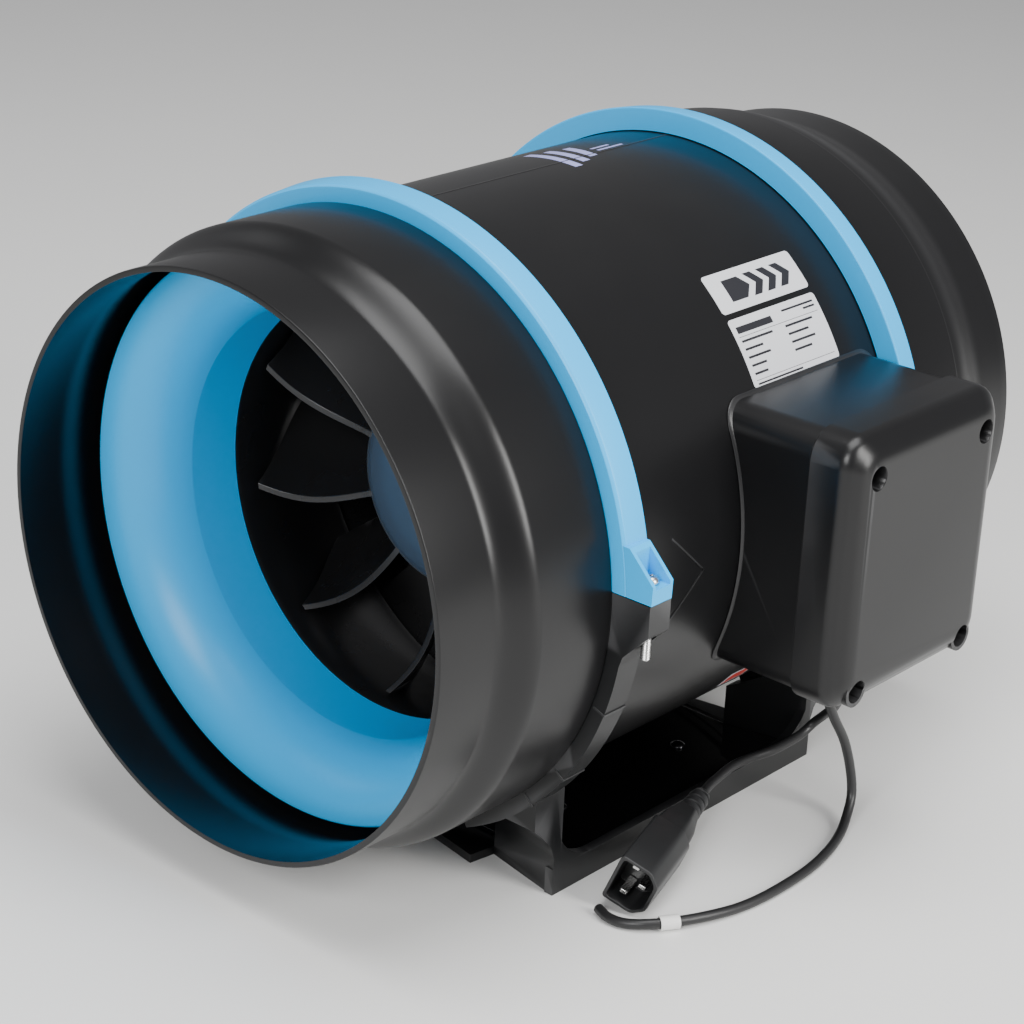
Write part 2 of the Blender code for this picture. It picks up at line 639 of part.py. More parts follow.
def bracket_floor_outline():
    """Return the bracket's plan outline, with the tongue that stands out at each end."""
    front = [(BRACKET_HALF_WIDTH, BRACKET_FRONT_Y), (CORNER_INNER_X, BRACKET_FRONT_Y + CORNER_SLANT)]
    front += [(0.0565, -0.0967), (0.0290, -0.0920)]
    left = [(-x, y) for x, y in reversed(front)]
    half = front + left
    return half + [(-x, 2.0 * BRACKET_MIDDLE_Y - y) for x, y in half]


def make_bracket(material):
    """Make the floor bracket: floor, side walls, four corner walls and four arms."""
    bracket = extruded("mounting_bracket", bracket_floor_outline(), "Z", 0.0, FLOOR_THICKNESS, material)
    back = 2.0 * BRACKET_MIDDLE_Y - BRACKET_FRONT_Y
    pieces = []
    for side in (-1.0, 1.0):
        near, far = sorted((side * BRACKET_HALF_WIDTH, side * (BRACKET_HALF_WIDTH - SIDE_WALL)))
        pieces.append(block("side", (near, BRACKET_FRONT_Y, 0.0), (far, back, SIDE_WALL_HEIGHT)))
    corner = combine(make_corner(), make_gusset(), "UNION")
    for flip_x in (False, True):
        for flip_y in (False, True):
            pieces.append(mirrored_copy(corner, "corner_copy", flip_x, flip_y))
    bpy.data.objects.remove(corner)
    for middle_y in (INLET_BAND_Y, OUTLET_BAND_Y):
        arm = make_arm(middle_y)
        pieces.append(mirrored_copy(arm, "arm_copy", True, False))
        pieces.append(arm)
    for piece in pieces:
        combine(bracket, piece, "UNION")
    return combine(bracket, tray_screw_holes(0.0010))


def tray_screw_places():
    """Return the plan positions of the tray plate's screws."""
    return [(x, y) for x in (-0.0595, 0.0595) for y in (-0.0420, 0.0420)]


def tray_screw_holes(low):
    """Make the tool that drills the tray screws' holes from a height upwards."""
    holes = []
    for x, y in tray_screw_places():
        hole = rod("hole", [(0.0, low), (0.0021, low), (0.0021, 0.0100), (0.0, 0.0100)], None)
        hole.location = (x, y, 0.0)
        holes.append(hole)
    return joined(holes)


def make_tray(materials):
    """Make the glossy tray plate and the four screws that hold it."""
    half = BRACKET_HALF_WIDTH - SIDE_WALL - GAP
    corner_y = BRACKET_FRONT_Y + SIDE_WALL + 0.0016
    inner_y = corner_y + CORNER_SLANT
    front = [(half, corner_y), (CORNER_INNER_X, inner_y), (-CORNER_INNER_X, inner_y), (-half, corner_y)]
    outline = front + [(-x, 2.0 * BRACKET_MIDDLE_Y - y) for x, y in front]
    plate = extruded("bracket_tray_plate", outline, "Z", FLOOR_THICKNESS + GAP, TRAY_TOP,
                     materials["gloss_black"])
    combine(plate, tray_screw_holes(0.0))
    for index, (x, y) in enumerate(tray_screw_places(), start=1):
        head_z = TRAY_TOP + GAP
        profile = [(0.0, 0.0013), (0.0018, 0.0013), (0.0018, head_z), (0.0036, head_z)]
        profile += [(0.0033, head_z + 0.0014), (0.0018, head_z + 0.0021), (0.0, head_z + 0.0021)]
        screw = rod(f"tray_screw_{index}", profile, materials["zinc_steel"])
        screw.location = (x, y, 0.0)


# --- Terminal box -------------------------------------------------------------------
def make_box_base(material):
    """Make the box's base: a saddle on the casing, four walls and four screw posts."""
    origin = (0.0, 0.0, AXIS_Z)
    low = (BOX_FRONT_Y, BOX_LOW_Z)
    high = (BOX_BACK_Y, BOX_HIGH_Z)
    rim_x = BOX_JOINT_X - 0.0012
    outline = rounded_rectangle(low, high, BOX_CORNER)
    base = extruded("terminal_box_base", outline, "X", 0.0900, rim_x, material, origin)
    shell = [(edge + BOX_WALL) for edge in low], [(edge - BOX_WALL) for edge in high]
    inner = rounded_rectangle(*shell, BOX_CORNER - BOX_WALL)
    room = extruded("room", inner, "X", 0.0950, 0.1700, None, origin)
    combine(room, round_tool(BODY_RADIUS + 0.0033))
    combine(base, room)
    post = [(POST_RADIUS, 0.1100), (POST_RADIUS, rim_x - 0.0002)]
    supports = [post_tool(post, y, z) for y, z in cover_screw_places()]
    supports.append(block("pad", (0.1200, 0.0140, -0.0220), (0.1352, 0.0560, -0.0100), location=origin))
    supports.append(block("pad", (0.1200, 0.0200, 0.0260), (0.1356, 0.0450, 0.0380), location=origin))
    combine(base, joined(supports), "UNION")
    combine(base, round_tool(BODY_RADIUS + 0.0006))
    holes = [post_tool([(0.0021, 0.1440), (0.0021, 0.1700)], y, z) for y, z in cover_screw_places()]
    for x, y in (MAINS_GLAND, CONTROL_GLAND):
        hole = rod("hole", [(0.0, -0.0700), (0.0060, -0.0700), (0.0060, -0.0500), (0.0, -0.0500)], None)
        hole.location = (x, y, AXIS_Z)
        holes.append(hole)
    return combine(base, joined(holes))


def cover_screw_places():
    """Return the cover screws' places as (y, z), with z measured from the fan's axis."""
    return [(y, z) for y in COVER_SCREW_Y for z in COVER_SCREW_Z]


def round_tool(radius):
    """Make a plain cylinder on the fan's axis, longer than the terminal box."""
    profile = [(0.0, -0.0700), (radius, -0.0700), (radius, 0.1400), (0.0, 0.1400)]
    return turned("saddle", profile, None, 2 * SEGMENTS)


def post_tool(profile, y, z):
    """Make a round post or a stepped hole along X from its (radius, x) points."""
    closed = [(0.0, profile[0][1])] + profile + [(0.0, profile[-1][1])]
    return turned("post", closed, None, SMALL_SEGMENTS, "X", (0.0, y, AXIS_Z + z))


def make_box_cover(material):
    """Make the box's cover: a hollow lid with chamfered edges and four screw sleeves."""
    low = (BOX_FRONT_Y - LID_STEP, BOX_LOW_Z - LID_STEP)
    high = (BOX_BACK_Y + LID_STEP, BOX_HIGH_Z + LID_STEP)
    cover = lid_solid("terminal_box_cover", low, high, BOX_JOINT_X + GAP, LID_FACE_X, material)
    inner_low = [edge + BOX_WALL for edge in low]
    inner_high = [edge - BOX_WALL for edge in high]
    combine(cover, lid_solid("room", inner_low, inner_high, 0.1500, LID_FACE_X - BOX_WALL, None))
    sleeve = [(0.0068, BOX_JOINT_X + GAP + 0.0002), (0.0068, LID_FACE_X - 0.0010)]
    recess = [(0.0023, 0.1500), (0.0023, 0.1710), (0.0050, 0.1710), (0.0050, 0.2000)]
    combine(cover, joined([post_tool(sleeve, y, z) for y, z in cover_screw_places()]), "UNION")
    combine(cover, joined([post_tool(recess, y, z) for y, z in cover_screw_places()]))
    return cover


def lid_solid(name, low, high, joint_x, face_x, material):
    """Make a rounded box with a chamfer all round its outer face."""
    side_x = face_x - (LID_FACE_X - LID_SIDE_X)
    steps = [(joint_x, 0.0, 0.0130), (side_x, 0.0, 0.0130)]
    steps += [(face_x - 0.0006, LID_CHAMFER - 0.0010, 0.0090), (face_x, LID_CHAMFER, 0.0080)]
    sections = []
    for x, inset, radius in steps:
        corner_low = [edge + inset for edge in low]
        corner_high = [edge - inset for edge in high]
        sections.append([(x, y, z) for y, z in rounded_rectangle(corner_low, corner_high, radius)])
    return loft(name, sections, material, (0.0, 0.0, AXIS_Z))


def make_box_contents(materials):
    """Make the cover's seal and screws, the terminal block and the run capacitor."""
    origin = (0.0, 0.0, AXIS_Z)
    low = (BOX_FRONT_Y + 0.0006, BOX_LOW_Z + 0.0006)
    high = (BOX_BACK_Y - 0.0006, BOX_HIGH_Z - 0.0006)
    seal_x = BOX_JOINT_X - 0.0009
    seal = extruded("cover_seal", rounded_rectangle(low, high, BOX_CORNER - 0.0006), "X", seal_x,
                    BOX_JOINT_X, materials["rubber"], origin)
    inner = rounded_rectangle([edge + 0.0018 for edge in low], [edge - 0.0018 for edge in high],
                              BOX_CORNER - 0.0024)
    combine(seal, extruded("opening", inner, "X", 0.1500, 0.1700, None, origin))
    for index, (y, z) in enumerate(cover_screw_places(), start=1):
        profile = [(0.0, 0.1460), (0.0018, 0.1475), (0.0018, 0.1713), (0.0040, 0.1713)]
        profile += [(0.0040, 0.1728), (0.0026, 0.1742), (0.0, 0.1742)]
        turned(f"cover_screw_{index}", profile, materials["zinc_steel"], SMALL_SEGMENTS, "X",
               (0.0, y, AXIS_Z + z))
    terminal = block("terminal_block", (0.1355, 0.0110, -0.0240), (0.1480, 0.0590, -0.0080),
                     materials["white_plastic"], origin)
    slots = []
    for step in range(5):
        y = 0.0155 + 0.0082 * step
        slots.append(block("slot", (0.1440, y, -0.0200), (0.1500, y + 0.0050, -0.0120), location=origin))
    combine(terminal, joined(slots))
    can = [(0.0, 0.0100), (0.0105, 0.0100), (0.0105, 0.0530), (0.0090, 0.0545), (0.0, 0.0545)]
    turned("run_capacitor", can, materials["white_plastic"], SMALL_SEGMENTS, "Y",
           (0.1465, 0.0, AXIS_Z + 0.0320))


# --- Cords and plug -----------------------------------------------------------------
def make_glands(material):
    """Make the two cable glands under the terminal box and their lock nuts."""
    for name, (x, y) in (("mains_gland", MAINS_GLAND), ("control_gland", CONTROL_GLAND)):
        profile = [(0.0, GLAND_END_Z), (0.0046, GLAND_END_Z), (0.0066, -0.0665), (0.0066, -0.0610)]
        under = BOX_LOW_Z - GAP
        profile += [(0.0082, -0.0608), (0.0082, under), (0.0057, under), (0.0057, -0.0500), (0.0, -0.0500)]
        turned(name, profile, material, SMALL_SEGMENTS, "Z", (x, y, AXIS_Z))
        nut = [(0.0060, BOX_LOW_Z + BOX_WALL + GAP), (0.0080, BOX_LOW_Z + BOX_WALL + GAP)]
        nut += [(0.0080, -0.0510), (0.0060, -0.0510)]
        turned(f"{name}_nut", nut, material, SMALL_SEGMENTS, "Z", (x, y, AXIS_Z))


def plug_frame():
    """Return the matrix of the plug's own frame: +Y to the tail, from the mouth's centre."""
    along = (PLUG_TAIL - PLUG_MOUTH).normalized()
    across = along.cross(Vector((0.0, 0.0, 1.0))).normalized()
    up = across.cross(along)
    basis = Matrix((across, along, up)).transposed().to_4x4()
    return Matrix.Translation(PLUG_MOUTH) @ basis @ Matrix.Rotation(-PLUG_ROLL, 4, "Y")


def plug_outline(grow):
    """Return the plug mouth's six-sided outline: two corners are cut off on one side."""
    flat = -0.0091 - grow
    far = 0.0105 + grow
    slant = 0.0052 + 0.4 * grow
    half = 0.0118 + grow
    nose = 0.0068 + 0.4 * grow
    return [(flat, -half), (slant, -half), (far, -nose), (far, nose), (slant, half), (flat, half)]


def make_plug(materials):
    """Make the inline appliance plug: body with a mouth, three pins and a strain relief."""
    black = materials["cord_black"]
    frame = plug_frame()
    length = (PLUG_TAIL - PLUG_MOUTH).length
    sections = []
    for along, scale in ((0.0, 1.0), (0.0370, 1.0), (0.0374, 0.93), (0.0480, 0.86), (0.0660, 0.52)):
        sections.append([(x * scale, along, z * scale) for x, z in plug_outline(0.0)])
    body = loft("plug_body", sections, black)
    mouth = [(x, z) for x, z in plug_outline(-0.0016)]
    combine(body, extruded("mouth", mouth, "Y", -0.0100, 0.0160, None))
    body.matrix_world = frame
    pins = (("earth", 0.0040, 0.0), ("line", -0.0020, 0.0070), ("neutral", -0.0020, -0.0070))
    for name, x, z in pins:
        low = (x - 0.0020, 0.0040, z - 0.0010)
        high = (x + 0.0020, 0.0160 - GAP, z + 0.0010)
        pin = block(f"plug_pin_{name}", low, high, materials["zinc_steel"])
        pin.matrix_world = frame
    rings = [(0.0, 0.0663), (0.0056, 0.0663)]
    for step in range(3):
        start = 0.0675 + 0.0056 * step
        radius = 0.0054 - 0.0003 * step
        neck = radius - 0.0011
        rings += [(radius, start + 0.0034), (neck, start + 0.0036), (neck, start + 0.0050)]
        rings += [(radius - 0.0003, start + 0.0056)]
    rings += [(0.0036, length), (0.0, length)]
    relief = turned("plug_strain_relief", rings, black, SMALL_SEGMENTS, "Y", (0.0, 0.0, 0.0))
    relief.matrix_world = frame


def smooth_route(points, spacing):
    """Return points at even spacing on a smooth curve through the route's own points."""
    route = [Vector(point) for point in points]
    ends = [2.0 * route[0] - route[1]] + route + [2.0 * route[-1] - route[-2]]
    dense = []
    for before, start, end, after in zip(ends, ends[1:], ends[2:], ends[3:]):
        for step in range(24):
            t = step / 24
            bend = (2.0 * before - 5.0 * start + 4.0 * end - after) * t ** 2
            twist = (3.0 * start - before - 3.0 * end + after) * t ** 3
            dense.append(0.5 * (2.0 * start + (end - before) * t + bend + twist))
    dense.append(route[-1])
    lengths = [0.0]
    for start, end in zip(dense, dense[1:]):
        lengths.append(lengths[-1] + (end - start).length)
    count = max(2, round(lengths[-1] / spacing))
    even = []
    index = 0
    for step in range(count + 1):
        target = lengths[-1] * step / count
        while index < len(lengths) - 2 and lengths[index + 1] < target:
            index += 1
        span = lengths[index + 1] - lengths[index]
        share = (target - lengths[index]) / span if span > 0.0 else 0.0
        even.append(dense[index].lerp(dense[index + 1], min(max(share, 0.0), 1.0)))
    return even


def make_cord(name, points, material):
    """Make a cord as a bevelled curve along a smooth route."""
    even = smooth_route(points, 2.4 * 2.0 * CORD_RADIUS)
    curve = bpy.data.curves.new(name, "CURVE")
    curve.dimensions = "3D"
    curve.bevel_depth = CORD_RADIUS
    curve.bevel_resolution = 2
    curve.use_fill_caps = True
    spline = curve.splines.new("POLY")
    spline.points.add(len(even) - 1)
    for target, point in zip(spline.points, even):
        target.co = (*point, 1.0)
    curve.materials.append(material)
    cord = bpy.data.objects.new(name, curve)
    bpy.context.collection.objects.link(cord)
    return cord


def mains_route():
    """Return the mains lead's points, from its gland along the bracket's rim to the plug."""
    x, y = MAINS_GLAND
    start_z = AXIS_Z + GLAND_END_Z - 1.5 * GAP
    rim = SIDE_WALL_HEIGHT + GAP + CORD_RADIUS
    along = (PLUG_TAIL - PLUG_MOUTH).normalized()
    return [(x, y, start_z), (x, y, start_z - 0.0080), (0.1320, 0.0620, 0.0570),
            (0.1220, 0.0760, 0.0400), (0.1110, 0.0850, 0.0280), (0.1038, 0.0865, 0.0200),
            (0.1021, 0.0800, 0.0160), (0.1020, 0.0680, 0.0152), (0.1016, 0.0570, rim + 0.0002),
            (0.0990, 0.0450, rim + 0.0001), (0.0980, 0.0330, rim), (0.1000, 0.0200, rim + 0.0001),
            tuple(PLUG_TAIL + along * 0.0080), tuple(PLUG_TAIL + along * 1.5 * GAP)]


def control_route():
    """Return the control lead's points, from its gland down to the floor and forward."""
    x, y = CONTROL_GLAND
    start_z = AXIS_Z + GLAND_END_Z - 1.5 * GAP
    floor = CORD_RADIUS + 0.0001
    return [(x, y, start_z), (x, y, start_z - 0.0080), (0.1443, 0.0410, 0.0545),
            (0.1455, 0.0495, 0.0400), (0.1466, 0.0550, 0.0240), (0.1482, 0.0555, 0.0120),
            (0.1515, 0.0480, 0.0048), (0.1560, 0.0370, floor), (0.1612, 0.0205, floor),
            (0.1645, 0.0000, floor), (0.1648, -0.0250, floor), (0.1628, -0.0430, floor),
            (0.1590, -0.0580, 0.0030), tuple(TAG_START), (0.1450, -0.0840, TAG_END.z),
            (0.1370, -0.0895, 0.0026), (0.1290, -0.0905, floor), (0.1215, -0.0880, floor)]


def make_tag(material):
    """Make the white sleeve near the control lead's free end."""
    reach = TAG_END - TAG_START
    half = reach.length / 2.0
    profile = [(TAG_INNER, -half), (TAG_OUTER, -half), (TAG_OUTER, half), (TAG_INNER, half)]
    middle = (TAG_START + TAG_END) / 2.0
    tag = turned("control_lead_tag", profile, material, SMALL_SEGMENTS, "Y", tuple(middle))
    tag.rotation_euler = (0.0, 0.0, math.atan2(-reach.x, reach.y))
    return tag


# --- The whole fan ------------------------------------------------------------------
def main():
    """Build the fan."""
    for leftover in list(bpy.data.objects):
        bpy.data.objects.remove(leftover)
    materials = make_materials()
    make_inlet_casing(materials["black_casing"])
    make_centre_casing(materials["black_casing"])
    make_outlet_casing(materials["black_casing"])
    make_bellmouth(materials["sky_blue"])
    make_seals(materials["rubber"])
    make_liner(materials["impeller_black"])
    make_guide_vanes(materials["impeller_black"])
    make_impeller(materials["impeller_black"], materials["hub_grey_blue"])
    make_motor(materials)
    make_clamp_band("inlet_clamp_band", INLET_BAND_Y, -1.0, materials["sky_blue"])
    make_clamp_band("outlet_clamp_band", OUTLET_BAND_Y, 1.0, materials["sky_blue"])
    make_clamp_fasteners(materials)
    make_bracket(materials["black_bracket"])
    make_tray(materials)
    make_box_base(materials["black_casing"])
    make_box_cover(materials["black_casing"])
    make_box_contents(materials)
    make_glands(materials["black_casing"])
    make_plug(materials)
    make_cord("mains_lead", mains_route(), materials["cord_black"])
    make_cord("control_lead", control_route(), materials["cord_black"])
    make_tag(materials["white_plastic"])


main()
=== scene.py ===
"""Looks of an inline mixed-flow duct fan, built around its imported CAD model.

Metres, +Z up. The fan's axis runs along +Y from the inlet to the outlet, and the terminal
box is on the +X side. Each sub-assembly is a class that keeps its own sizes, builds its
meshes and dresses them; what the CAD model fixes is read from the frame.
"""

import json
import logging
import math
from collections.abc import Iterable, Sequence
from dataclasses import dataclass, field
from enum import Enum

import bmesh
import bpy
from mathutils import Matrix, Vector

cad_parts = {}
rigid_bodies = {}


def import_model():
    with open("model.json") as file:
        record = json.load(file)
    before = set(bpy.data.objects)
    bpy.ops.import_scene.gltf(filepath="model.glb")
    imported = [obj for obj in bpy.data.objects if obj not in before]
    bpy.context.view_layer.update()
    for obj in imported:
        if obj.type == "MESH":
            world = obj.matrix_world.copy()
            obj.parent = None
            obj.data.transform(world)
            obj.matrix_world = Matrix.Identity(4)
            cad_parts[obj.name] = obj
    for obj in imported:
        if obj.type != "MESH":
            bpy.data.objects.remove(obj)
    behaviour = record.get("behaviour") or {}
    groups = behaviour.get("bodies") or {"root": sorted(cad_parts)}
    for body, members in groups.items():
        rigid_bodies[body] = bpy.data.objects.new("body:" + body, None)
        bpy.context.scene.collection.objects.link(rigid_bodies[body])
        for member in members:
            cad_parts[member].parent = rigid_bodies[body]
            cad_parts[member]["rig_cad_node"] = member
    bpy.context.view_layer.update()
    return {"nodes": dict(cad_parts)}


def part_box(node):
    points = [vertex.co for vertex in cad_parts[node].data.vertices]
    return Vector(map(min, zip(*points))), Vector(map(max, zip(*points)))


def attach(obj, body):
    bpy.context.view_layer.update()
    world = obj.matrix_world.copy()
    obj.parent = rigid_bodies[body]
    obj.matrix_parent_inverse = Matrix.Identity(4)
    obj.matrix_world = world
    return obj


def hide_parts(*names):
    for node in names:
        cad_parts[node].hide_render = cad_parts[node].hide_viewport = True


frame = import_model()
LOG = logging.getLogger("duct_fan")

Point = tuple[float, float]
Place = tuple[float, float, float]
Colour = tuple[float, float, float]

GAP = 0.0003                # clearance between pieces that touch
FINE = 160                  # facets of the large turned pieces
MEDIUM = 64                 # facets of the motor-sized pieces
SMALL = 32                  # facets of screws and glands


class Axis(Enum):
    """The line that a piece is turned round or pushed along."""

    X = "x"
    Y = "y"
    Z = "z"


class Cut(Enum):
    """What a Boolean tool does to a body."""

    AWAY = "DIFFERENCE"
    ONTO = "UNION"


# --- Shader effects ---------------------------------------------------------------------
class Tree:
    """A node tree with short calls for adding and linking nodes."""

    def __init__(self, tree: bpy.types.NodeTree) -> None:
        """Keep the tree that the calls work on."""
        self.tree = tree

    def add(self, kind: str, **settings: object) -> bpy.types.Node:
        """Add a node.

        Args:
            kind: The node's type, without the leading "ShaderNode".
            settings: Attributes to set on the node.

        Returns:
            The new node.
        """
        node = self.tree.nodes.new(f"ShaderNode{kind}")
        for name, value in settings.items():
            setattr(node, name, value)
        return node

    def link(self, source: bpy.types.NodeSocket, target: bpy.types.NodeSocket) -> None:
        """Link an output to an input."""
        self.tree.links.new(source, target)

    def maths(self, operation: str, first: object, second: object = 0.0) -> bpy.types.NodeSocket:
        """Add a Math node.

        Args:
            operation: The Math node's operation.
            first: A socket or a number.
            second: A socket or a number.

        Returns:
            The node's output.
        """
        node = self.add("Math", operation=operation)
        for socket, value in zip(node.inputs, (first, second)):
            if isinstance(value, bpy.types.NodeSocket):
                self.link(value, socket)
            else:
                socket.default_value = value
        return node.outputs[0]

    def effect(self, name: str, **values: object) -> bpy.types.Node:
        """Place a shared effect in this tree.

        Args:
            name: The effect's name in EFFECTS.
            values: Inputs by name, with _ for a space; a number, a colour or a socket.

        Returns:
            The group node.
        """
        node = self.add("Group", node_tree=shared_effect(name))
        for key, value in values.items():
            socket = node.inputs[key.replace("_", " ")]
            if isinstance(value, bpy.types.NodeSocket):
                self.link(value, socket)
            else:
                socket.default_value = value
        return node


def open_group(name: str, inputs: dict[str, str], outputs: dict[str, str]) -> tuple[Tree, object, object]:
    """Start a shader node group.

    Args:
        name: The group's name.
        inputs: Socket kinds by name, such as Float or Color.
        outputs: Socket kinds by name.

    Returns:
        The group's tree, its input node and its output node.
    """
    group = bpy.data.node_groups.new(name, "ShaderNodeTree")
    for side, sockets in (("INPUT", inputs), ("OUTPUT", outputs)):
        for label, kind in sockets.items():
            group.interface.new_socket(name=label, in_out=side, socket_type=f"NodeSocket{kind}")
    tree = Tree(group)
    start = group.nodes.new("NodeGroupInput")
    end = group.nodes.new("NodeGroupOutput")
    return tree, start, end


def object_noise(tree: Tree, scale: object, detail: float, stretch: Place = (1.0, 1.0, 1.0)) -> object:
    """Add a noise that is fixed to the piece.

    Args:
        tree: The tree to add it to.
        scale: Cells per metre, as a number or a socket.
        detail: The noise's detail.
        stretch: Scale along each axis.

    Returns:
        The noise's value, from 0 to 1.
    """
    where = tree.add("TexCoord")
    mapping = tree.add("Mapping")
    mapping.inputs["Scale"].default_value = stretch
    noise = tree.add("TexNoise")
    noise.inputs["Detail"].default_value = detail
    tree.link(where.outputs["Object"], mapping.inputs["Vector"])
    tree.link(mapping.outputs["Vector"], noise.inputs["Vector"])
    if isinstance(scale, bpy.types.NodeSocket):
        tree.link(scale, noise.inputs["Scale"])
    else:
        noise.inputs["Scale"].default_value = scale
    return noise.outputs["Fac"]


def build_mould_grain() -> bpy.types.NodeTree:
    """Build the fine eroded grain of a moulded surface: a height in metres."""
    tree, start, end = open_group("mould_grain", {"Scale": "Float", "Depth": "Float"}, {"Height": "Float"})
    coarse = object_noise(tree, start.outputs["Scale"], 2.0)
    finer = object_noise(tree, tree.maths("MULTIPLY", start.outputs["Scale"], 2.7), 1.0)
    both = tree.maths("ADD", tree.maths("MULTIPLY", coarse, 0.65), tree.maths("MULTIPLY", finer, 0.35))
    tree.link(tree.maths("MULTIPLY", both, start.outputs["Depth"]), end.inputs["Height"])
    return tree.tree


def build_gloss_drift() -> bpy.types.NodeTree:
    """Build a roughness that drifts a little over a surface, with faint handling marks."""
    inputs = {"Base": "Float", "Amount": "Float", "Scale": "Float"}
    tree, start, end = open_group("gloss_drift", inputs, {"Roughness": "Float"})
    broad = object_noise(tree, start.outputs["Scale"], 3.0)
    marks = object_noise(tree, tree.maths("MULTIPLY", start.outputs["Scale"], 6.0), 4.0, (1.0, 0.35, 1.0))
    mixed = tree.maths("ADD", tree.maths("MULTIPLY", broad, 0.7), tree.maths("MULTIPLY", marks, 0.3))
    swing = tree.maths("MULTIPLY", tree.maths("SUBTRACT", mixed, 0.5), start.outputs["Amount"])
    tree.link(tree.maths("ADD", start.outputs["Base"], swing), end.inputs["Roughness"])
    return tree.tree


def build_tone_drift() -> bpy.types.NodeTree:
    """Build a colour that gets slightly lighter and darker over a surface."""
    inputs = {"Colour": "Color", "Amount": "Float", "Scale": "Float"}
    tree, start, end = open_group("tone_drift", inputs, {"Colour": "Color"})
    cloud = object_noise(tree, start.outputs["Scale"], 4.0)
    swing = tree.maths("MULTIPLY", tree.maths("SUBTRACT", cloud, 0.5), start.outputs["Amount"])
    shade = tree.add("VectorMath", operation="SCALE")
    tree.link(start.outputs["Colour"], shade.inputs["Vector"])
    tree.link(tree.maths("ADD", 1.0, swing), shade.inputs["Scale"])
    tree.link(shade.outputs["Vector"], end.inputs["Colour"])
    return tree.tree


def build_painted_edge_highlight() -> bpy.types.NodeTree:
    """Build a mask of sharp edges, which a painted highlight lightens."""
    tree, start, end = open_group("painted_edge_highlight", {"Amount": "Float", "Scale": "Float"}, {"Mask": "Float"})
    geometry = tree.add("NewGeometry")
    ramp = tree.add("MapRange", interpolation_type="SMOOTHSTEP")
    ramp.inputs["From Min"].default_value = 0.52
    ramp.inputs["From Max"].default_value = 0.64
    tree.link(geometry.outputs["Pointiness"], ramp.inputs["Value"])
    broken = tree.maths("ADD", object_noise(tree, start.outputs["Scale"], 3.0), 0.35)
    worn = tree.maths("MULTIPLY", ramp.outputs["Result"], broken)
    tree.link(tree.maths("MULTIPLY", worn, start.outputs["Amount"]), end.inputs["Mask"])
    return tree.tree


def build_settled_dust() -> bpy.types.NodeTree:
    """Build a mask of the faint dust that settles on faces that look up."""
    tree, start, end = open_group("settled_dust", {"Amount": "Float", "Scale": "Float"}, {"Mask": "Float"})
    geometry = tree.add("NewGeometry")
    split = tree.add("SeparateXYZ")
    tree.link(geometry.outputs["Normal"], split.inputs["Vector"])
    upward = tree.maths("POWER", tree.maths("MAXIMUM", split.outputs["Z"], 0.0), 3.0)
    patchy = tree.maths("POWER", object_noise(tree, start.outputs["Scale"], 6.0), 2.0)
    amount = tree.maths("MULTIPLY", tree.maths("MULTIPLY", upward, patchy), start.outputs["Amount"])
    tree.link(amount, end.inputs["Mask"])
    return tree.tree


def build_drawn_streaks() -> bpy.types.NodeTree:
    """Build fine streaks along Y, as drawing, turning or printing leaves them."""
    tree, start, end = open_group("drawn_streaks", {"Scale": "Float"}, {"Value": "Float"})
    streak = object_noise(tree, start.outputs["Scale"], 3.0, (1.0, 0.06, 1.0))
    tree.link(streak, end.inputs["Value"])
    return tree.tree


EFFECTS = {
    "mould_grain": build_mould_grain,
    "gloss_drift": build_gloss_drift,
    "tone_drift": build_tone_drift,
    "painted_edge_highlight": build_painted_edge_highlight,
    "settled_dust": build_settled_dust,
    "drawn_streaks": build_drawn_streaks,
}


def shared_effect(name: str) -> bpy.types.NodeTree:
    """Return a shared effect's node group, building it the first time."""
    return bpy.data.node_groups.get(name) or EFFECTS[name]()


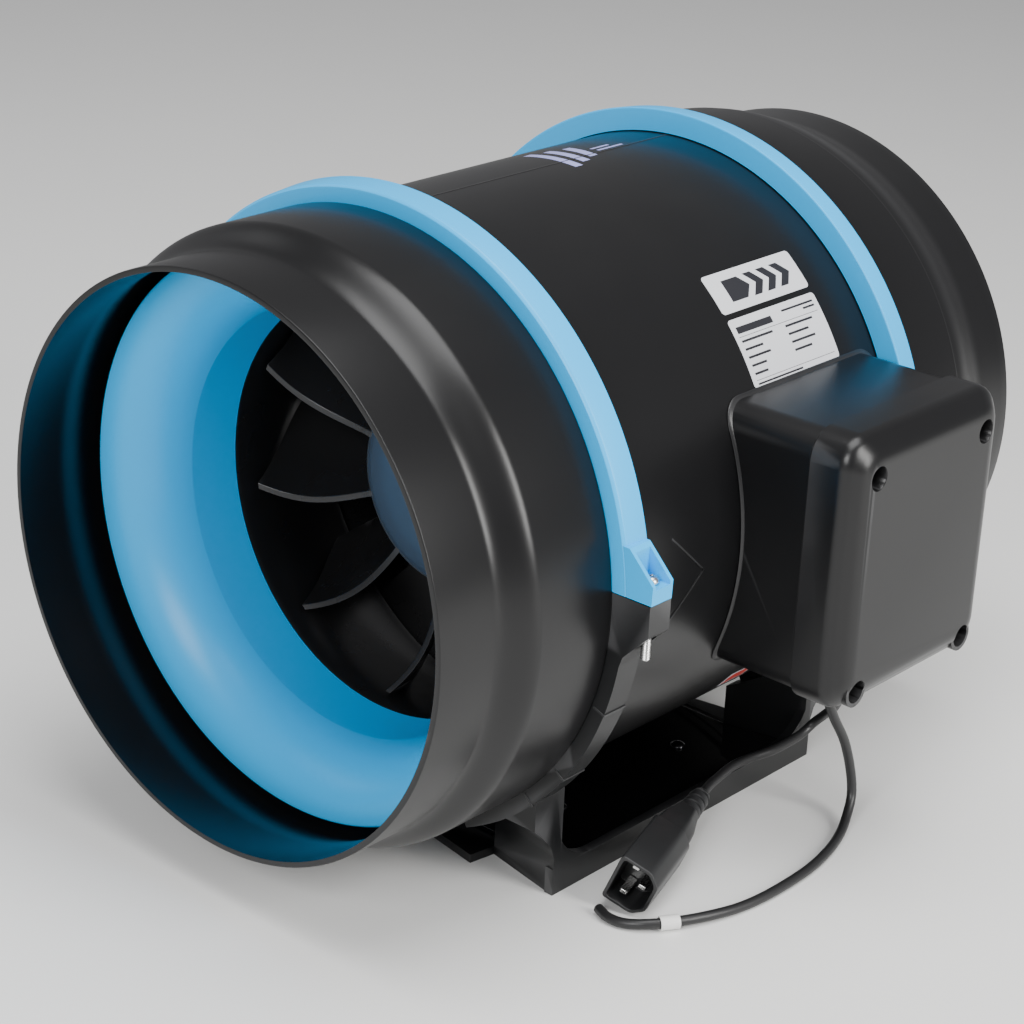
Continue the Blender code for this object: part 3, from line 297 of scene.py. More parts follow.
# --- Finishes ---------------------------------------------------------------------------
@dataclass(frozen=True)
class Finish:
    """A moulded plastic surface, and the base of the other finishes.

    Attributes:
        name: The material's name.
        slot: The record's material slot that it belongs to; not used.
        colour: Base colour, linear.
        roughness: Middle roughness.
        metallic: 1 for bare metal.
        specular: Strength of the plain reflection.
        coat: Weight of a clear glossy skin.
        coat_roughness: Roughness of that skin.
        grain: Cells per metre of the mould's grain.
        depth: Depth of the grain in metres.
        gloss_swing: How far the roughness drifts.
        tone_swing: How far the colour drifts.
        edge: How light the painted highlight on sharp edges gets.
        dust: How much dust shows on upward faces.
    """

    name: str
    slot: str
    colour: Colour
    roughness: float
    metallic: float = 0.0
    specular: float = 0.5
    coat: float = 0.0
    coat_roughness: float = 0.1
    grain: float = 2600.0
    depth: float = 0.00003
    gloss_swing: float = 0.10
    tone_swing: float = 0.16
    edge: float = 0.0
    dust: float = 0.0

    def material(self) -> bpy.types.Material:
        """Return the finish's material, making it the first time."""
        known = bpy.data.materials.get(self.name)
        return known if known is not None else self.make()

    def make(self) -> bpy.types.Material:
        """Make the material: fixed values on the shader, and what changes through nodes."""
        material = bpy.data.materials.new(self.name)
        material.use_nodes = True
        material.diffuse_color = (*self.colour, 1.0)
        tree = Tree(material.node_tree)
        shader = material.node_tree.nodes["Principled BSDF"]
        shader.inputs["Metallic"].default_value = self.metallic
        shader.inputs["Specular IOR Level"].default_value = self.specular
        shader.inputs["Coat Weight"].default_value = self.coat
        shader.inputs["Coat Roughness"].default_value = self.coat_roughness
        tree.link(self.tint(tree), shader.inputs["Base Color"])
        tree.link(self.gloss(tree), shader.inputs["Roughness"])
        bump = tree.add("Bump")
        bump.inputs["Distance"].default_value = 1.0
        tree.link(self.height(tree), bump.inputs["Height"])
        tree.link(bump.outputs["Normal"], shader.inputs["Normal"])
        return material

    def tint(self, tree: Tree) -> bpy.types.NodeSocket:
        """Return the base colour, with drift, painted edge highlights and dust."""
        base = tree.effect("tone_drift", Colour=(*self.colour, 1.0), Amount=self.tone_swing, Scale=14.0)
        colour = base.outputs["Colour"]
        if self.edge > 0.0:
            # Painted highlight: the edge mask lightens sharp edges towards a pale grey.
            mask = tree.effect("painted_edge_highlight", Amount=self.edge, Scale=60.0).outputs["Mask"]
            colour = self.blended(tree, mask, colour, (0.32, 0.32, 0.33, 1.0))
        if self.dust > 0.0:
            mask = tree.effect("settled_dust", Amount=self.dust, Scale=38.0).outputs["Mask"]
            colour = self.blended(tree, mask, colour, (0.42, 0.40, 0.37, 1.0))
        return colour

    def gloss(self, tree: Tree) -> bpy.types.NodeSocket:
        """Return the roughness."""
        drift = tree.effect("gloss_drift", Base=self.roughness, Amount=self.gloss_swing, Scale=9.0)
        return drift.outputs["Roughness"]

    def height(self, tree: Tree) -> bpy.types.NodeSocket:
        """Return the height of the surface's texture, in metres."""
        return tree.effect("mould_grain", Scale=self.grain, Depth=self.depth).outputs["Height"]

    @staticmethod
    def blended(tree: Tree, mask: object, under: object, over: Sequence[float]) -> bpy.types.NodeSocket:
        """Lay a colour over another where a mask says.

        Args:
            tree: The material's tree.
            mask: The mask's socket.
            under: The socket of the colour below.
            over: The colour on top, with alpha.

        Returns:
            The blended colour.
        """
        mix = tree.add("Mix", data_type="RGBA")
        tree.link(mask, mix.inputs["Factor"])
        tree.link(under, mix.inputs["A"])
        mix.inputs["B"].default_value = tuple(over)
        return mix.outputs["Result"]

    def dress(self, piece: bpy.types.Object) -> bpy.types.Object:
        """Give a piece this finish as its only material."""
        if piece.get("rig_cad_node") is None:
            piece.data.materials.clear()
            piece.data.materials.append(self.material())
            return piece
        if not piece.material_slots:
            piece.data.materials.append(self.material())
        for entry in piece.material_slots:
            entry.material = self.material()
        return piece


@dataclass(frozen=True)
class DrawnMetal(Finish):
    """Bare metal with fine streaks in its gloss and its surface."""

    metallic: float = 1.0
    streaks: float = 900.0

    def gloss(self, tree: Tree) -> bpy.types.NodeSocket:
        """Return a roughness that follows the streaks."""
        streak = tree.effect("drawn_streaks", Scale=self.streaks).outputs["Value"]
        swing = tree.maths("MULTIPLY", tree.maths("SUBTRACT", streak, 0.5), self.gloss_swing * 2.0)
        return tree.maths("ADD", swing, self.roughness)

    def height(self, tree: Tree) -> bpy.types.NodeSocket:
        """Return the streaks' height."""
        streak = tree.effect("drawn_streaks", Scale=self.streaks * 2.0).outputs["Value"]
        return tree.maths("MULTIPLY", streak, self.depth)


@dataclass(frozen=True)
class Layered(Finish):
    """Metal made of thin layers or turns, which show as fine ridges along one axis."""

    metallic: float = 1.0
    axis: Axis = Axis.Y
    pitch: float = 0.0007

    def ridges(self, tree: Tree) -> bpy.types.NodeSocket:
        """Return the ridges, from 0 to 1."""
        where = tree.add("TexCoord")
        split = tree.add("SeparateXYZ")
        tree.link(where.outputs["Object"], split.inputs["Vector"])
        along = tree.maths("MULTIPLY", split.outputs[self.axis.name], math.pi / self.pitch)
        return tree.maths("ABSOLUTE", tree.maths("SINE", along))

    def tint(self, tree: Tree) -> bpy.types.NodeSocket:
        """Return the colour, darker between the layers."""
        base = tree.effect("tone_drift", Colour=(*self.colour, 1.0), Amount=self.tone_swing, Scale=40.0)
        gap = tree.maths("POWER", tree.maths("SUBTRACT", 1.0, self.ridges(tree)), 3.0)
        return self.blended(tree, gap, base.outputs["Colour"], (0.02, 0.015, 0.012, 1.0))

    def height(self, tree: Tree) -> bpy.types.NodeSocket:
        """Return the layers' height."""
        return tree.maths("MULTIPLY", self.ridges(tree), self.depth)


# The edge values set a painted highlight that lightens sharp edges in the colour.
CASING = Finish("satin_black_casing", "black_casing", (0.0045, 0.0045, 0.0050), 0.31, specular=0.38,
                depth=0.00002, edge=0.10, dust=0.008)
BRACKET = Finish("satin_black_bracket", "black_bracket", (0.0045, 0.0048, 0.0054), 0.36, depth=0.000025,
                 edge=0.16, dust=0.008)
TRAY = Finish("mirror_black_tray", "gloss_black", (0.0022, 0.0022, 0.0025), 0.09, coat=0.6,
              coat_roughness=0.04, grain=180.0, depth=0.00001, gloss_swing=0.04, dust=0.004)
BLUE = Finish("sky_blue_plastic", "sky_blue", (0.000, 0.430, 0.900), 0.38, specular=0.35, coat=0.10,
              coat_roughness=0.25, grain=2200.0, depth=0.00001, gloss_swing=0.06, tone_swing=0.06)
WHEEL = Finish("glass_filled_black", "impeller_black", (0.012, 0.012, 0.0128), 0.28, grain=1500.0,
               depth=0.00004, edge=0.20)
HUB = Finish("slate_hub", "hub_grey_blue", (0.050, 0.075, 0.110), 0.34, grain=1500.0, depth=0.00003)
RUBBER = Finish("seal_rubber", "rubber", (0.010, 0.010, 0.010), 0.72, grain=900.0, depth=0.00008)
CORD = Finish("cord_sheath", "cord_black", (0.0125, 0.0125, 0.0132), 0.40, grain=1400.0, depth=0.00004)
PLUG = Finish("plug_moulding", "cord_black", (0.0120, 0.0124, 0.0132), 0.38, grain=1800.0, depth=0.00004,
              edge=0.14)
WHITE = Finish("white_moulding", "white_plastic", (0.72, 0.72, 0.70), 0.45, grain=1600.0, depth=0.00003)
ZINC = DrawnMetal("bright_zinc", "zinc_steel", (0.66, 0.66, 0.65), 0.26, depth=0.00001)
DARK_SCREW = DrawnMetal("black_oxide", "zinc_steel", (0.045, 0.045, 0.048), 0.24, depth=0.00001)
STEEL = DrawnMetal("turned_steel", "zinc_steel", (0.50, 0.50, 0.49), 0.30, depth=0.00001)
CAST = Finish("cast_aluminium_skin", "cast_aluminium", (0.50, 0.51, 0.52), 0.48, metallic=1.0,
              grain=700.0, depth=0.00012)
STACK = Layered("stacked_sheet_steel", "laminated_steel", (0.30, 0.30, 0.31), 0.42, depth=0.00008)
COPPER = Layered("enamelled_wire", "copper", (0.66, 0.27, 0.11), 0.30, depth=0.00015, pitch=0.0009)
LABEL = Finish("silver_label", "white_plastic", (0.60, 0.61, 0.64), 0.34, metallic=0.0, grain=900.0,
               depth=0.000004, tone_swing=0.05)
INK = Finish("label_ink", "black_casing", (0.012, 0.012, 0.016), 0.45, grain=3000.0, depth=0.000003)
MOTIF = Finish("lavender_print", "white_plastic", (0.36, 0.38, 0.72), 0.38, grain=2000.0, depth=0.000004,
               tone_swing=0.10)
RED = Finish("red_print", "white_plastic", (0.52, 0.030, 0.022), 0.40, grain=2000.0, depth=0.000004)
FLOOR = Finish("studio_floor", "", (0.80, 0.80, 0.79), 0.62, grain=300.0, depth=0.0, tone_swing=0.02)


# --- Mesh making ------------------------------------------------------------------------
def softened(corners: Iterable[Sequence[float]], steps: int = 4) -> list[Point]:
    """Round the corners of a closed outline.

    Args:
        corners: Two coordinates for each corner, and how far back from it the round starts.
        steps: Facets in each rounded corner.

    Returns:
        The outline's points.
    """
    points = [(Vector(corner[:2]), corner[2] if len(corner) > 2 else 0.0) for corner in corners]
    outline: list[Point] = []
    for index, (here, back) in enumerate(points):
        before = points[index - 1][0] - here
        after = points[(index + 1) % len(points)][0] - here
        reach = min(back, 0.48 * before.length, 0.48 * after.length)
        if reach <= 1e-7:
            outline.append(tuple(here))
            continue
        start = here + before.normalized() * reach
        end = here + after.normalized() * reach
        for step in range(steps + 1):
            t = step / steps
            outline.append(tuple(start * (1 - t) ** 2 + here * 2 * t * (1 - t) + end * t ** 2))
    return outline


def smooth_step(share: float) -> float:
    """Ease from 0 to 1."""
    share = min(max(share, 0.0), 1.0)
    return share * share * (3.0 - 2.0 * share)


def eased(start: Point, end: Point, steps: int) -> list[Point]:
    """Return points from start to end whose first coordinate eases and whose second is even."""
    rows = []
    for step in range(steps + 1):
        share = step / steps
        rows.append((start[0] + (end[0] - start[0]) * smooth_step(share),
                     start[1] + (end[1] - start[1]) * share))
    return rows


def arc(radius: float, start: float, end: float, steps: int, centre: Point = (0.0, 0.0)) -> list[Point]:
    """Return points on an arc from one angle in degrees to another."""
    points = []
    for step in range(steps + 1):
        angle = math.radians(start + (end - start) * step / steps)
        points.append((centre[0] + radius * math.cos(angle), centre[1] + radius * math.sin(angle)))
    return points


def rounded_rectangle(low: Point, high: Point, radius: float, steps: int = 8) -> list[Point]:
    """Return a rectangle's outline with rounded corners."""
    corners = [((high[0] - radius, high[1] - radius), 0.0), ((low[0] + radius, high[1] - radius), 90.0),
               ((low[0] + radius, low[1] + radius), 180.0), ((high[0] - radius, low[1] + radius), 270.0)]
    outline: list[Point] = []
    for centre, start in corners:
        outline += arc(radius, start, start + 90.0, steps, centre)
    return outline


def solid(name: str, bm: bmesh.types.BMesh, sharp: float = 38.0) -> bpy.types.Object:
    """Turn a bmesh into an object with outward faces.

    Args:
        name: The object's name.
        bm: The mesh, which is freed.
        sharp: Edges sharper than this many degrees stay crisp.

    Returns:
        The new object.
    """
    bmesh.ops.remove_doubles(bm, verts=bm.verts, dist=1e-7)
    bmesh.ops.recalc_face_normals(bm, faces=bm.faces)
    mesh = bpy.data.meshes.new(name)
    bm.to_mesh(mesh)
    bm.free()
    mesh.shade_smooth()
    mesh.set_sharp_from_angle(angle=math.radians(sharp))
    piece = bpy.data.objects.new(name, mesh)
    bpy.context.scene.collection.objects.link(piece)
    return piece


def skin(bm: bmesh.types.BMesh, rows: Sequence[Sequence[Place]], wrap: bool, cap: bool) -> None:
    """Add faces between rows of points, each of which closes on itself.

    Args:
        bm: The mesh to add to.
        rows: The rows, each with the same number of points, or one point for a tip.
        wrap: Join the last row to the first.
        cap: Close the first and last rows.
    """
    rings = [[bm.verts.new(point) for point in row] for row in rows]
    pairs = list(zip(rings, rings[1:])) + ([(rings[-1], rings[0])] if wrap else [])
    for ring, following in pairs:
        count = max(len(ring), len(following))
        for step in range(count if count > 1 else 0):
            after = (step + 1) % count
            corners = [ring[step % len(ring)], ring[after % len(ring)],
                       following[after % len(following)], following[step % len(following)]]
            bm.faces.new(list(dict.fromkeys(corners)))
    if cap:
        bm.faces.new(rings[0])
        bm.faces.new(rings[-1])


def lathe(name: str, outline: Iterable[Sequence[float]], centre: Place, facets: int = FINE,
          axis: Axis = Axis.Y, sharp: float = 38.0) -> bpy.types.Object:
    """Turn a closed outline round an axis.

    Args:
        name: The object's name.
        outline: Points of (radius, distance along the axis).
        centre: A point on the axis.
        facets: Facets round the turn.
        axis: The axis' direction.
        sharp: Edges sharper than this many degrees stay crisp.

    Returns:
        The turned piece, in the fan's frame.
    """
    rows = []
    for radius, along in outline:
        if radius < 1e-6:
            rows.append([on_axis(0.0, along, 0.0, axis, centre)])
            continue
        row = []
        for step in range(facets):
            angle = 2.0 * math.pi * step / facets
            row.append(on_axis(radius * math.cos(angle), along, radius * math.sin(angle), axis, centre))
        rows.append(row)
    bm = bmesh.new()
    skin(bm, rows, wrap=True, cap=False)
    return solid(name, bm, sharp)


def on_axis(across: float, along: float, up: float, axis: Axis, centre: Place) -> Place:
    """Map a point drawn round the Y axis to one drawn round another axis.

    Args:
        across: The first distance from the axis.
        along: The distance along the axis.
        up: The second distance from the axis.
        axis: The axis' direction.
        centre: A point on the axis.

    Returns:
        The point in the fan's frame.
    """
    x, y, z = centre
    if axis is Axis.Y:
        return (x + across, y + along, z + up)
    if axis is Axis.Z:
        return (x + across, y + up, z + along)
    return (x + along, y + across, z + up)


def prism(name: str, outline: Iterable[Sequence[float]], axis: Axis, low: float, high: float,
          lift: float = 0.0, sharp: float = 38.0) -> bpy.types.Object:
    """Push a flat outline along an axis.

    Args:
        name: The object's name.
        outline: Points in the other two axes, in their order.
        axis: The axis it is pushed along.
        low: Where it starts.
        high: Where it ends.
        lift: Added to every z.
        sharp: Edges sharper than this many degrees stay crisp.

    Returns:
        The prism.
    """
    rows = []
    for along in (low, high):
        if axis is Axis.X:
            rows.append([(along, a, b + lift) for a, b in outline])
        elif axis is Axis.Y:
            rows.append([(a, along, b + lift) for a, b in outline])
        else:
            rows.append([(a, b, along + lift) for a, b in outline])
    bm = bmesh.new()
    skin(bm, rows, wrap=False, cap=True)
    return solid(name, bm, sharp)


def block(name: str, low: Place, high: Place, lift: float = 0.0) -> bpy.types.Object:
    """Make a box from two opposite corners.

    Args:
        name: The object's name.
        low: The low corner.
        high: The high corner.
        lift: Added to every z.

    Returns:
        The box.
    """
    outline = [(low[0], low[1]), (high[0], low[1]), (high[0], high[1]), (low[0], high[1])]
    return prism(name, outline, Axis.Z, low[2], high[2], lift)


def shaped(body: bpy.types.Object, tool: bpy.types.Object, cut: Cut,
           sharp: float = 38.0) -> bpy.types.Object:
    """Apply a Boolean of the tool to the body, and remove the tool.

    Args:
        body: The piece that is changed.
        tool: The shape that cuts it or is added to it.
        cut: Whether the tool is cut away or added on.
        sharp: Edges sharper than this many degrees stay crisp.

    Returns:
        The changed piece.
    """
    modifier = body.modifiers.new("cut", "BOOLEAN")
    modifier.operation = cut.value
    modifier.solver = "EXACT"
    modifier.object = tool
    bpy.context.view_layer.update()
    result = bpy.data.meshes.new_from_object(body.evaluated_get(bpy.context.evaluated_depsgraph_get()))
    body.modifiers.clear()
    body.data = result
    result.shade_smooth()
    result.set_sharp_from_angle(angle=math.radians(sharp))
    bpy.data.objects.remove(tool)
    return body


def together(name: str, pieces: Iterable[bpy.types.Object], sharp: float = 38.0) -> bpy.types.Object:
    """Join pieces that don't touch each other into one object.

    Args:
        name: The joined object's name.
        pieces: The pieces, which are removed.
        sharp: Edges sharper than this many degrees stay crisp.

    Returns:
        The joined object.
    """
    bm = bmesh.new()
    for piece in pieces:
        bm.from_mesh(piece.data)
        bpy.data.objects.remove(piece)
    return solid(name, bm, sharp)


def moved(piece: bpy.types.Object, matrix: Matrix) -> bpy.types.Object:
    """Move a piece's mesh by a matrix, leaving its object at the origin.

    Args:
        piece: The piece.
        matrix: Where its mesh goes.

    Returns:
        The piece.
    """
    piece.data.transform(matrix)
    if matrix.determinant() < 0.0:
        piece.data.flip_normals()
    return piece


def eased_edges(piece: bpy.types.Object, width: float, facets: int = 3,
                angle: float = 40.0) -> bpy.types.Object:
    """Round a piece's sharp edges with a Bevel modifier, and smooth the shading.

    Args:
        piece: The piece, which keeps its mesh.
        width: The round's width in metres.
        facets: Facets across the round.
        angle: Edges sharper than this many degrees are rounded.

    Returns:
        The piece.
    """
    bevel = piece.modifiers.new("eased_edges", "BEVEL")
    bevel.width = width
    bevel.segments = facets
    bevel.limit_method = "ANGLE"
    bevel.angle_limit = math.radians(angle)
    bevel.harden_normals = True
    bevel.use_clamp_overlap = True
    return piece


def smooth_route(points: Sequence[Sequence[float]], spacing: float) -> list[Vector]:
    """Return points at an even spacing on a smooth curve through a route's points.

    Args:
        points: The route's own points.
        spacing: Distance between the points returned.

    Returns:
        The curve's points, ends included.
    """
    route = [Vector(point) for point in points]
    ends = [2.0 * route[0] - route[1]] + route + [2.0 * route[-1] - route[-2]]
    dense = []
    for before, start, end, after in zip(ends, ends[1:], ends[2:], ends[3:]):
        for step in range(24):
            t = step / 24
            bend = (2.0 * before - 5.0 * start + 4.0 * end - after) * t ** 2
            twist = (3.0 * start - before - 3.0 * end + after) * t ** 3
            dense.append(0.5 * (2.0 * start + (end - before) * t + bend + twist))
    dense.append(route[-1])
    lengths = [0.0]
    for start, end in zip(dense, dense[1:]):
        lengths.append(lengths[-1] + (end - start).length)
    count = max(2, round(lengths[-1] / spacing))
    even = []
    index = 0
    for step in range(count + 1):
        target = lengths[-1] * step / count
        while index < len(lengths) - 2 and lengths[index + 1] < target:
            index += 1
        span = lengths[index + 1] - lengths[index]
        share = (target - lengths[index]) / span if span > 0.0 else 0.0
        even.append(dense[index].lerp(dense[index + 1], min(max(share, 0.0), 1.0)))
    return even


@dataclass(frozen=True)
class Wrap:
    """Where a thin flat shape is laid on the round casing.

    Attributes:
        radius: Radius of the surface that it lies on.
        axis_z: Height of the casing's axis.
        angle: Angle of the shape's middle, in degrees from +X towards +Z.
        middle_y: The shape's middle along the fan.
    """

    radius: float
    axis_z: float
    angle: float
    middle_y: float

    def lay(self, name: str, outlines: Iterable[Sequence[Point]], thickness: float,
            lift: float = 0.0) -> bpy.types.Object:
        """Cut flat shapes into narrow strips and bend them onto the casing.

        Args:
            name: The object's name.
            outlines: Closed outlines of (along the fan, round the casing) from the middle.
            thickness: How thick the shapes are.
            lift: How far they stand off the surface.

        Returns:
            The bent piece.
        """
        bm = bmesh.new()
        for outline in outlines:
            bm.faces.new([bm.verts.new((along, round_by, 0.0)) for along, round_by in outline])
        heights = [vert.co.y for vert in bm.verts]
        strip = 0.0016
        for step in range(math.ceil(min(heights) / strip), math.floor(max(heights) / strip) + 1):
            everything = bm.verts[:] + bm.edges[:] + bm.faces[:]
            bmesh.ops.bisect_plane(bm, geom=everything, plane_co=(0.0, step * strip, 0.0),
                                   plane_no=(0.0, 1.0, 0.0))
        grown = bmesh.ops.extrude_face_region(bm, geom=bm.faces[:])
        for item in grown["geom"]:
            if isinstance(item, bmesh.types.BMVert):
                item.co.z = thickness
        for vert in bm.verts:
            angle = math.radians(self.angle) + vert.co.y / self.radius
            radius = self.radius + lift + vert.co.z
            vert.co = (radius * math.cos(angle), self.middle_y + vert.co.x,
                       self.axis_z + radius * math.sin(angle))
        return solid(name, bm)


# --- What the frame says ----------------------------------------------------------------
@dataclass(frozen=True)
class Layout:
    """Places that every sub-assembly needs, read from the CAD model."""

    axis_z: float
    rim_y: float
    body_flange: float
    inlet_band_y: float
    outlet_band_y: float
    band_width: float
    box_low: Vector
    box_high: Vector
    bracket_low: Vector
    bracket_high: Vector

    @classmethod
    def read(cls) -> "Layout":
        """Read the layout from the frame's nodes."""
        casing_low, casing_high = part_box("centre_casing")
        inlet_low, inlet_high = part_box("inlet_clamp_band")
        outlet_low, outlet_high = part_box("outlet_clamp_band")
        box_low, box_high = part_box("terminal_box_base")
        bracket_low, bracket_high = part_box("mounting_bracket")
        return cls(axis_z=(casing_low.z + casing_high.z) / 2.0, rim_y=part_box("outlet_casing")[1].y,
                   body_flange=(casing_high.x - casing_low.x) / 2.0,
                   inlet_band_y=(inlet_low.y + inlet_high.y) / 2.0,
                   outlet_band_y=(outlet_low.y + outlet_high.y) / 2.0,
                   band_width=inlet_high.y - inlet_low.y, box_low=box_low, box_high=box_high,
                   bracket_low=bracket_low, bracket_high=bracket_high)

    @property
    def centre(self) -> Place:
        """The point on the fan's axis over the origin."""
        return (0.0, 0.0, self.axis_z)


@dataclass
class SubAssembly:
    """A group of pieces: what they share, and how a finished piece is handed over."""

    layout: Layout

    def add(self, piece: bpy.types.Object, finish: Finish, *stands_for: str,
            body: str = "housing") -> bpy.types.Object:
        """Dress a piece, make it ride on a body and say which CAD nodes it stands for.

        Args:
            piece: The finished piece.
            finish: Its finish.
            stands_for: CAD nodes that it replaces.
            body: The CAD body that it moves with.

        Returns:
            The piece.
        """
        finish.dress(piece)
        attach(piece, body)
        if stands_for:
            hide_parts(*stands_for)
        LOG.info("%s: %s for %s", type(self).__name__, piece.name, ", ".join(stands_for) or "detail")
        return piece


# --- Casings ----------------------------------------------------------------------------
@dataclass
class Casings(SubAssembly):
    """The three casing shells, the mould seam and the raised flow arrow."""

    spigot: float = 0.1240
    inner: float = 0.1214
    shoulder: float = 0.1326
    body: float = 0.1300
    body_inner: float = 0.1265

    def build(self) -> None:
        """Build the shells and their small raised marks."""
        self.inlet()
        self.outlet()
        self.centre()
        self.marks()

    def inlet(self) -> None:
        """Build the inlet end: spigot, soft shoulder and flange."""
        rim = -self.layout.rim_y
        wall = self.shoulder - 0.0033
        flange_y = self.layout.inlet_band_y - 0.0021
        outline = softened([(self.inner, rim, 0.0002), (self.spigot, rim, 0.0005),
                            (self.spigot, rim + 0.004, 0.0)])[:-1]
        outline += eased((self.spigot, -0.1640), (self.shoulder, -0.1460), 20)
        outline += softened([(self.shoulder, -0.1200, 0.0), (self.shoulder, -0.1056, 0.0007),
                             (self.layout.body_flange, -0.1054, 0.0),
                             (self.layout.body_flange, flange_y, 0.0),
                             (wall, flange_y, 0.0)])
        outline += eased((wall, -0.1430), (self.inner, -0.1740), 16)
        self.add(lathe("inlet_casing_shell", outline, self.layout.centre), CASING, "inlet_casing")

    def outlet(self) -> None:
        """Build the outlet end: flange, straight part with a crisp crease, and spigot."""
        rim = self.layout.rim_y
        wall = self.shoulder - 0.0036
        flange_y = self.layout.outlet_band_y + 0.0006
        flange = self.layout.body_flange
        outline = softened([(wall, flange_y, 0.0), (flange, flange_y, 0.0), (flange, 0.1006, 0.0),
                            (self.shoulder, 0.1007, 0.0007), (self.shoulder, 0.1398, 0.0004),
                            (self.shoulder - 0.0006, 0.1404, 0.0)])
        outline += eased((self.shoulder - 0.0007, 0.1410), (self.spigot, 0.1720), 18)
        outline += softened([(self.spigot, rim - 0.0060, 0.0), (self.spigot, rim, 0.0009),
                             (self.inner, rim, 0.0005)])
        outline += eased((self.inner, 0.1730), (wall, 0.1400), 16)
        self.add(lathe("outlet_casing_shell", outline, self.layout.centre), CASING, "outlet_casing")

    def centre(self) -> None:
        """Build the centre tube with its low end flanges."""
        front = self.layout.inlet_band_y + 0.0018
        back = self.layout.outlet_band_y - 0.0016
        flange = self.layout.body_flange
        outline = softened([(self.body_inner, front, 0.0004), (flange, front, 0.0003),
                            (flange, front + 0.0034, 0.0003), (self.body, front + 0.0037, 0.0),
                            (self.body, back - 0.0037, 0.0), (flange, back - 0.0034, 0.0003),
                            (flange, back, 0.0003), (self.body_inner, back, 0.0004)])
        self.add(lathe("centre_casing_shell", outline, self.layout.centre), CASING, "centre_casing")

    def marks(self) -> None:
        """Raise the mould's seam along the top and the flow arrow on the side."""
        front = self.layout.inlet_band_y + 0.0064
        back = self.layout.outlet_band_y - 0.0064
        reach = (back - front) / 2.0
        seam = Wrap(self.body, self.layout.axis_z, 92.6, (front + back) / 2.0)
        line = [[(-reach, -0.00025), (reach, -0.00025), (reach, 0.00025), (-reach, 0.00025)]]
        self.add(seam.lay("casing_mould_seam", line, 0.00022, lift=-0.00005), CASING)
        arrow = Wrap(self.body, self.layout.axis_z, -0.3, -0.0545)
        tail, tip, half, width = -0.0105, 0.0105, 0.0195, 0.00055
        strokes = [[(tail, side * half), (tip, 0.0), (tip - 1.6 * width, 0.0),
                    (tail - 0.9 * width, side * (half - width))]
                   for side in (1.0, -1.0)]
        self.add(arrow.lay("flow_arrow_ridge", strokes, 0.00045, lift=-0.00005), CASING)


@dataclass
class InletBell(SubAssembly):
    """The blue bellmouth and the black liner behind it."""

    throat: float = 0.0933
    lip: float = 0.1218
    lip_y: float = -0.1490
    throat_y: float = -0.1120
    wall: float = 0.0022
    crease: float = 14.0        # where the roll stops short of the throat, in degrees

    def build(self) -> None:
        """Build the bellmouth and the liner."""
        rise = self.lip - self.throat
        roll = self.throat_y - self.lip_y
        front = []
        for step in range(31):
            turn = math.radians(90.0 - (90.0 - self.crease) * step / 30)
            front.append((self.throat + rise * (1.0 - math.cos(turn)),
                          self.throat_y - roll * math.sin(turn)))
        back = []
        for step in range(17):
            turn = math.radians(90.0 * step / 16)
            back.append((self.throat + self.wall + (rise - 0.0006) * (1.0 - math.cos(turn)),
                         self.throat_y - (roll - self.wall) * math.sin(turn)))
        flange_y = self.layout.inlet_band_y - 0.0018
        outer = self.throat + self.wall
        flange = self.layout.body_flange - 0.0005
        rear = softened([(self.throat, -0.0960, 0.0004), (outer, -0.0960, 0.0003),
                         (outer, flange_y + 0.0015, 0.0), (flange, flange_y + 0.0015, 0.0003),
                         (flange, flange_y, 0.0003), (outer, flange_y, 0.0)])
        lip = [(self.lip + 0.0014, self.lip_y + 0.0008), (self.lip + 0.0008, self.lip_y + 0.0001)]
        self.add(lathe("bellmouth_roll", front + rear + back + lip, self.layout.centre, sharp=7.0),
                 BLUE, "inlet_bellmouth")
        self.liner()

    def liner(self) -> None:
        """Build the tapered liner that the blade tips run in."""
        start, end = -0.0957, -0.0160
        inner = [(liner_radius(start + (end - start) * step / 24), start + (end - start) * step / 24)
                 for step in range(25)]
        ring = 0.1262
        outer = [(radius + 0.0024, along) for radius, along in inner if along < end - 0.004]
        outline = inner + [(ring, end), (ring, end - 0.0040)] + outer[::-1]
        self.add(lathe("wheel_liner_shell", outline, self.layout.centre), WHEEL, "wheel_liner")


def liner_radius(along: float) -> float:
    """Return the liner's inner radius at a place along the fan."""
    return 0.0945 + 0.0265 * smooth_step((along + 0.0957) / 0.0797)


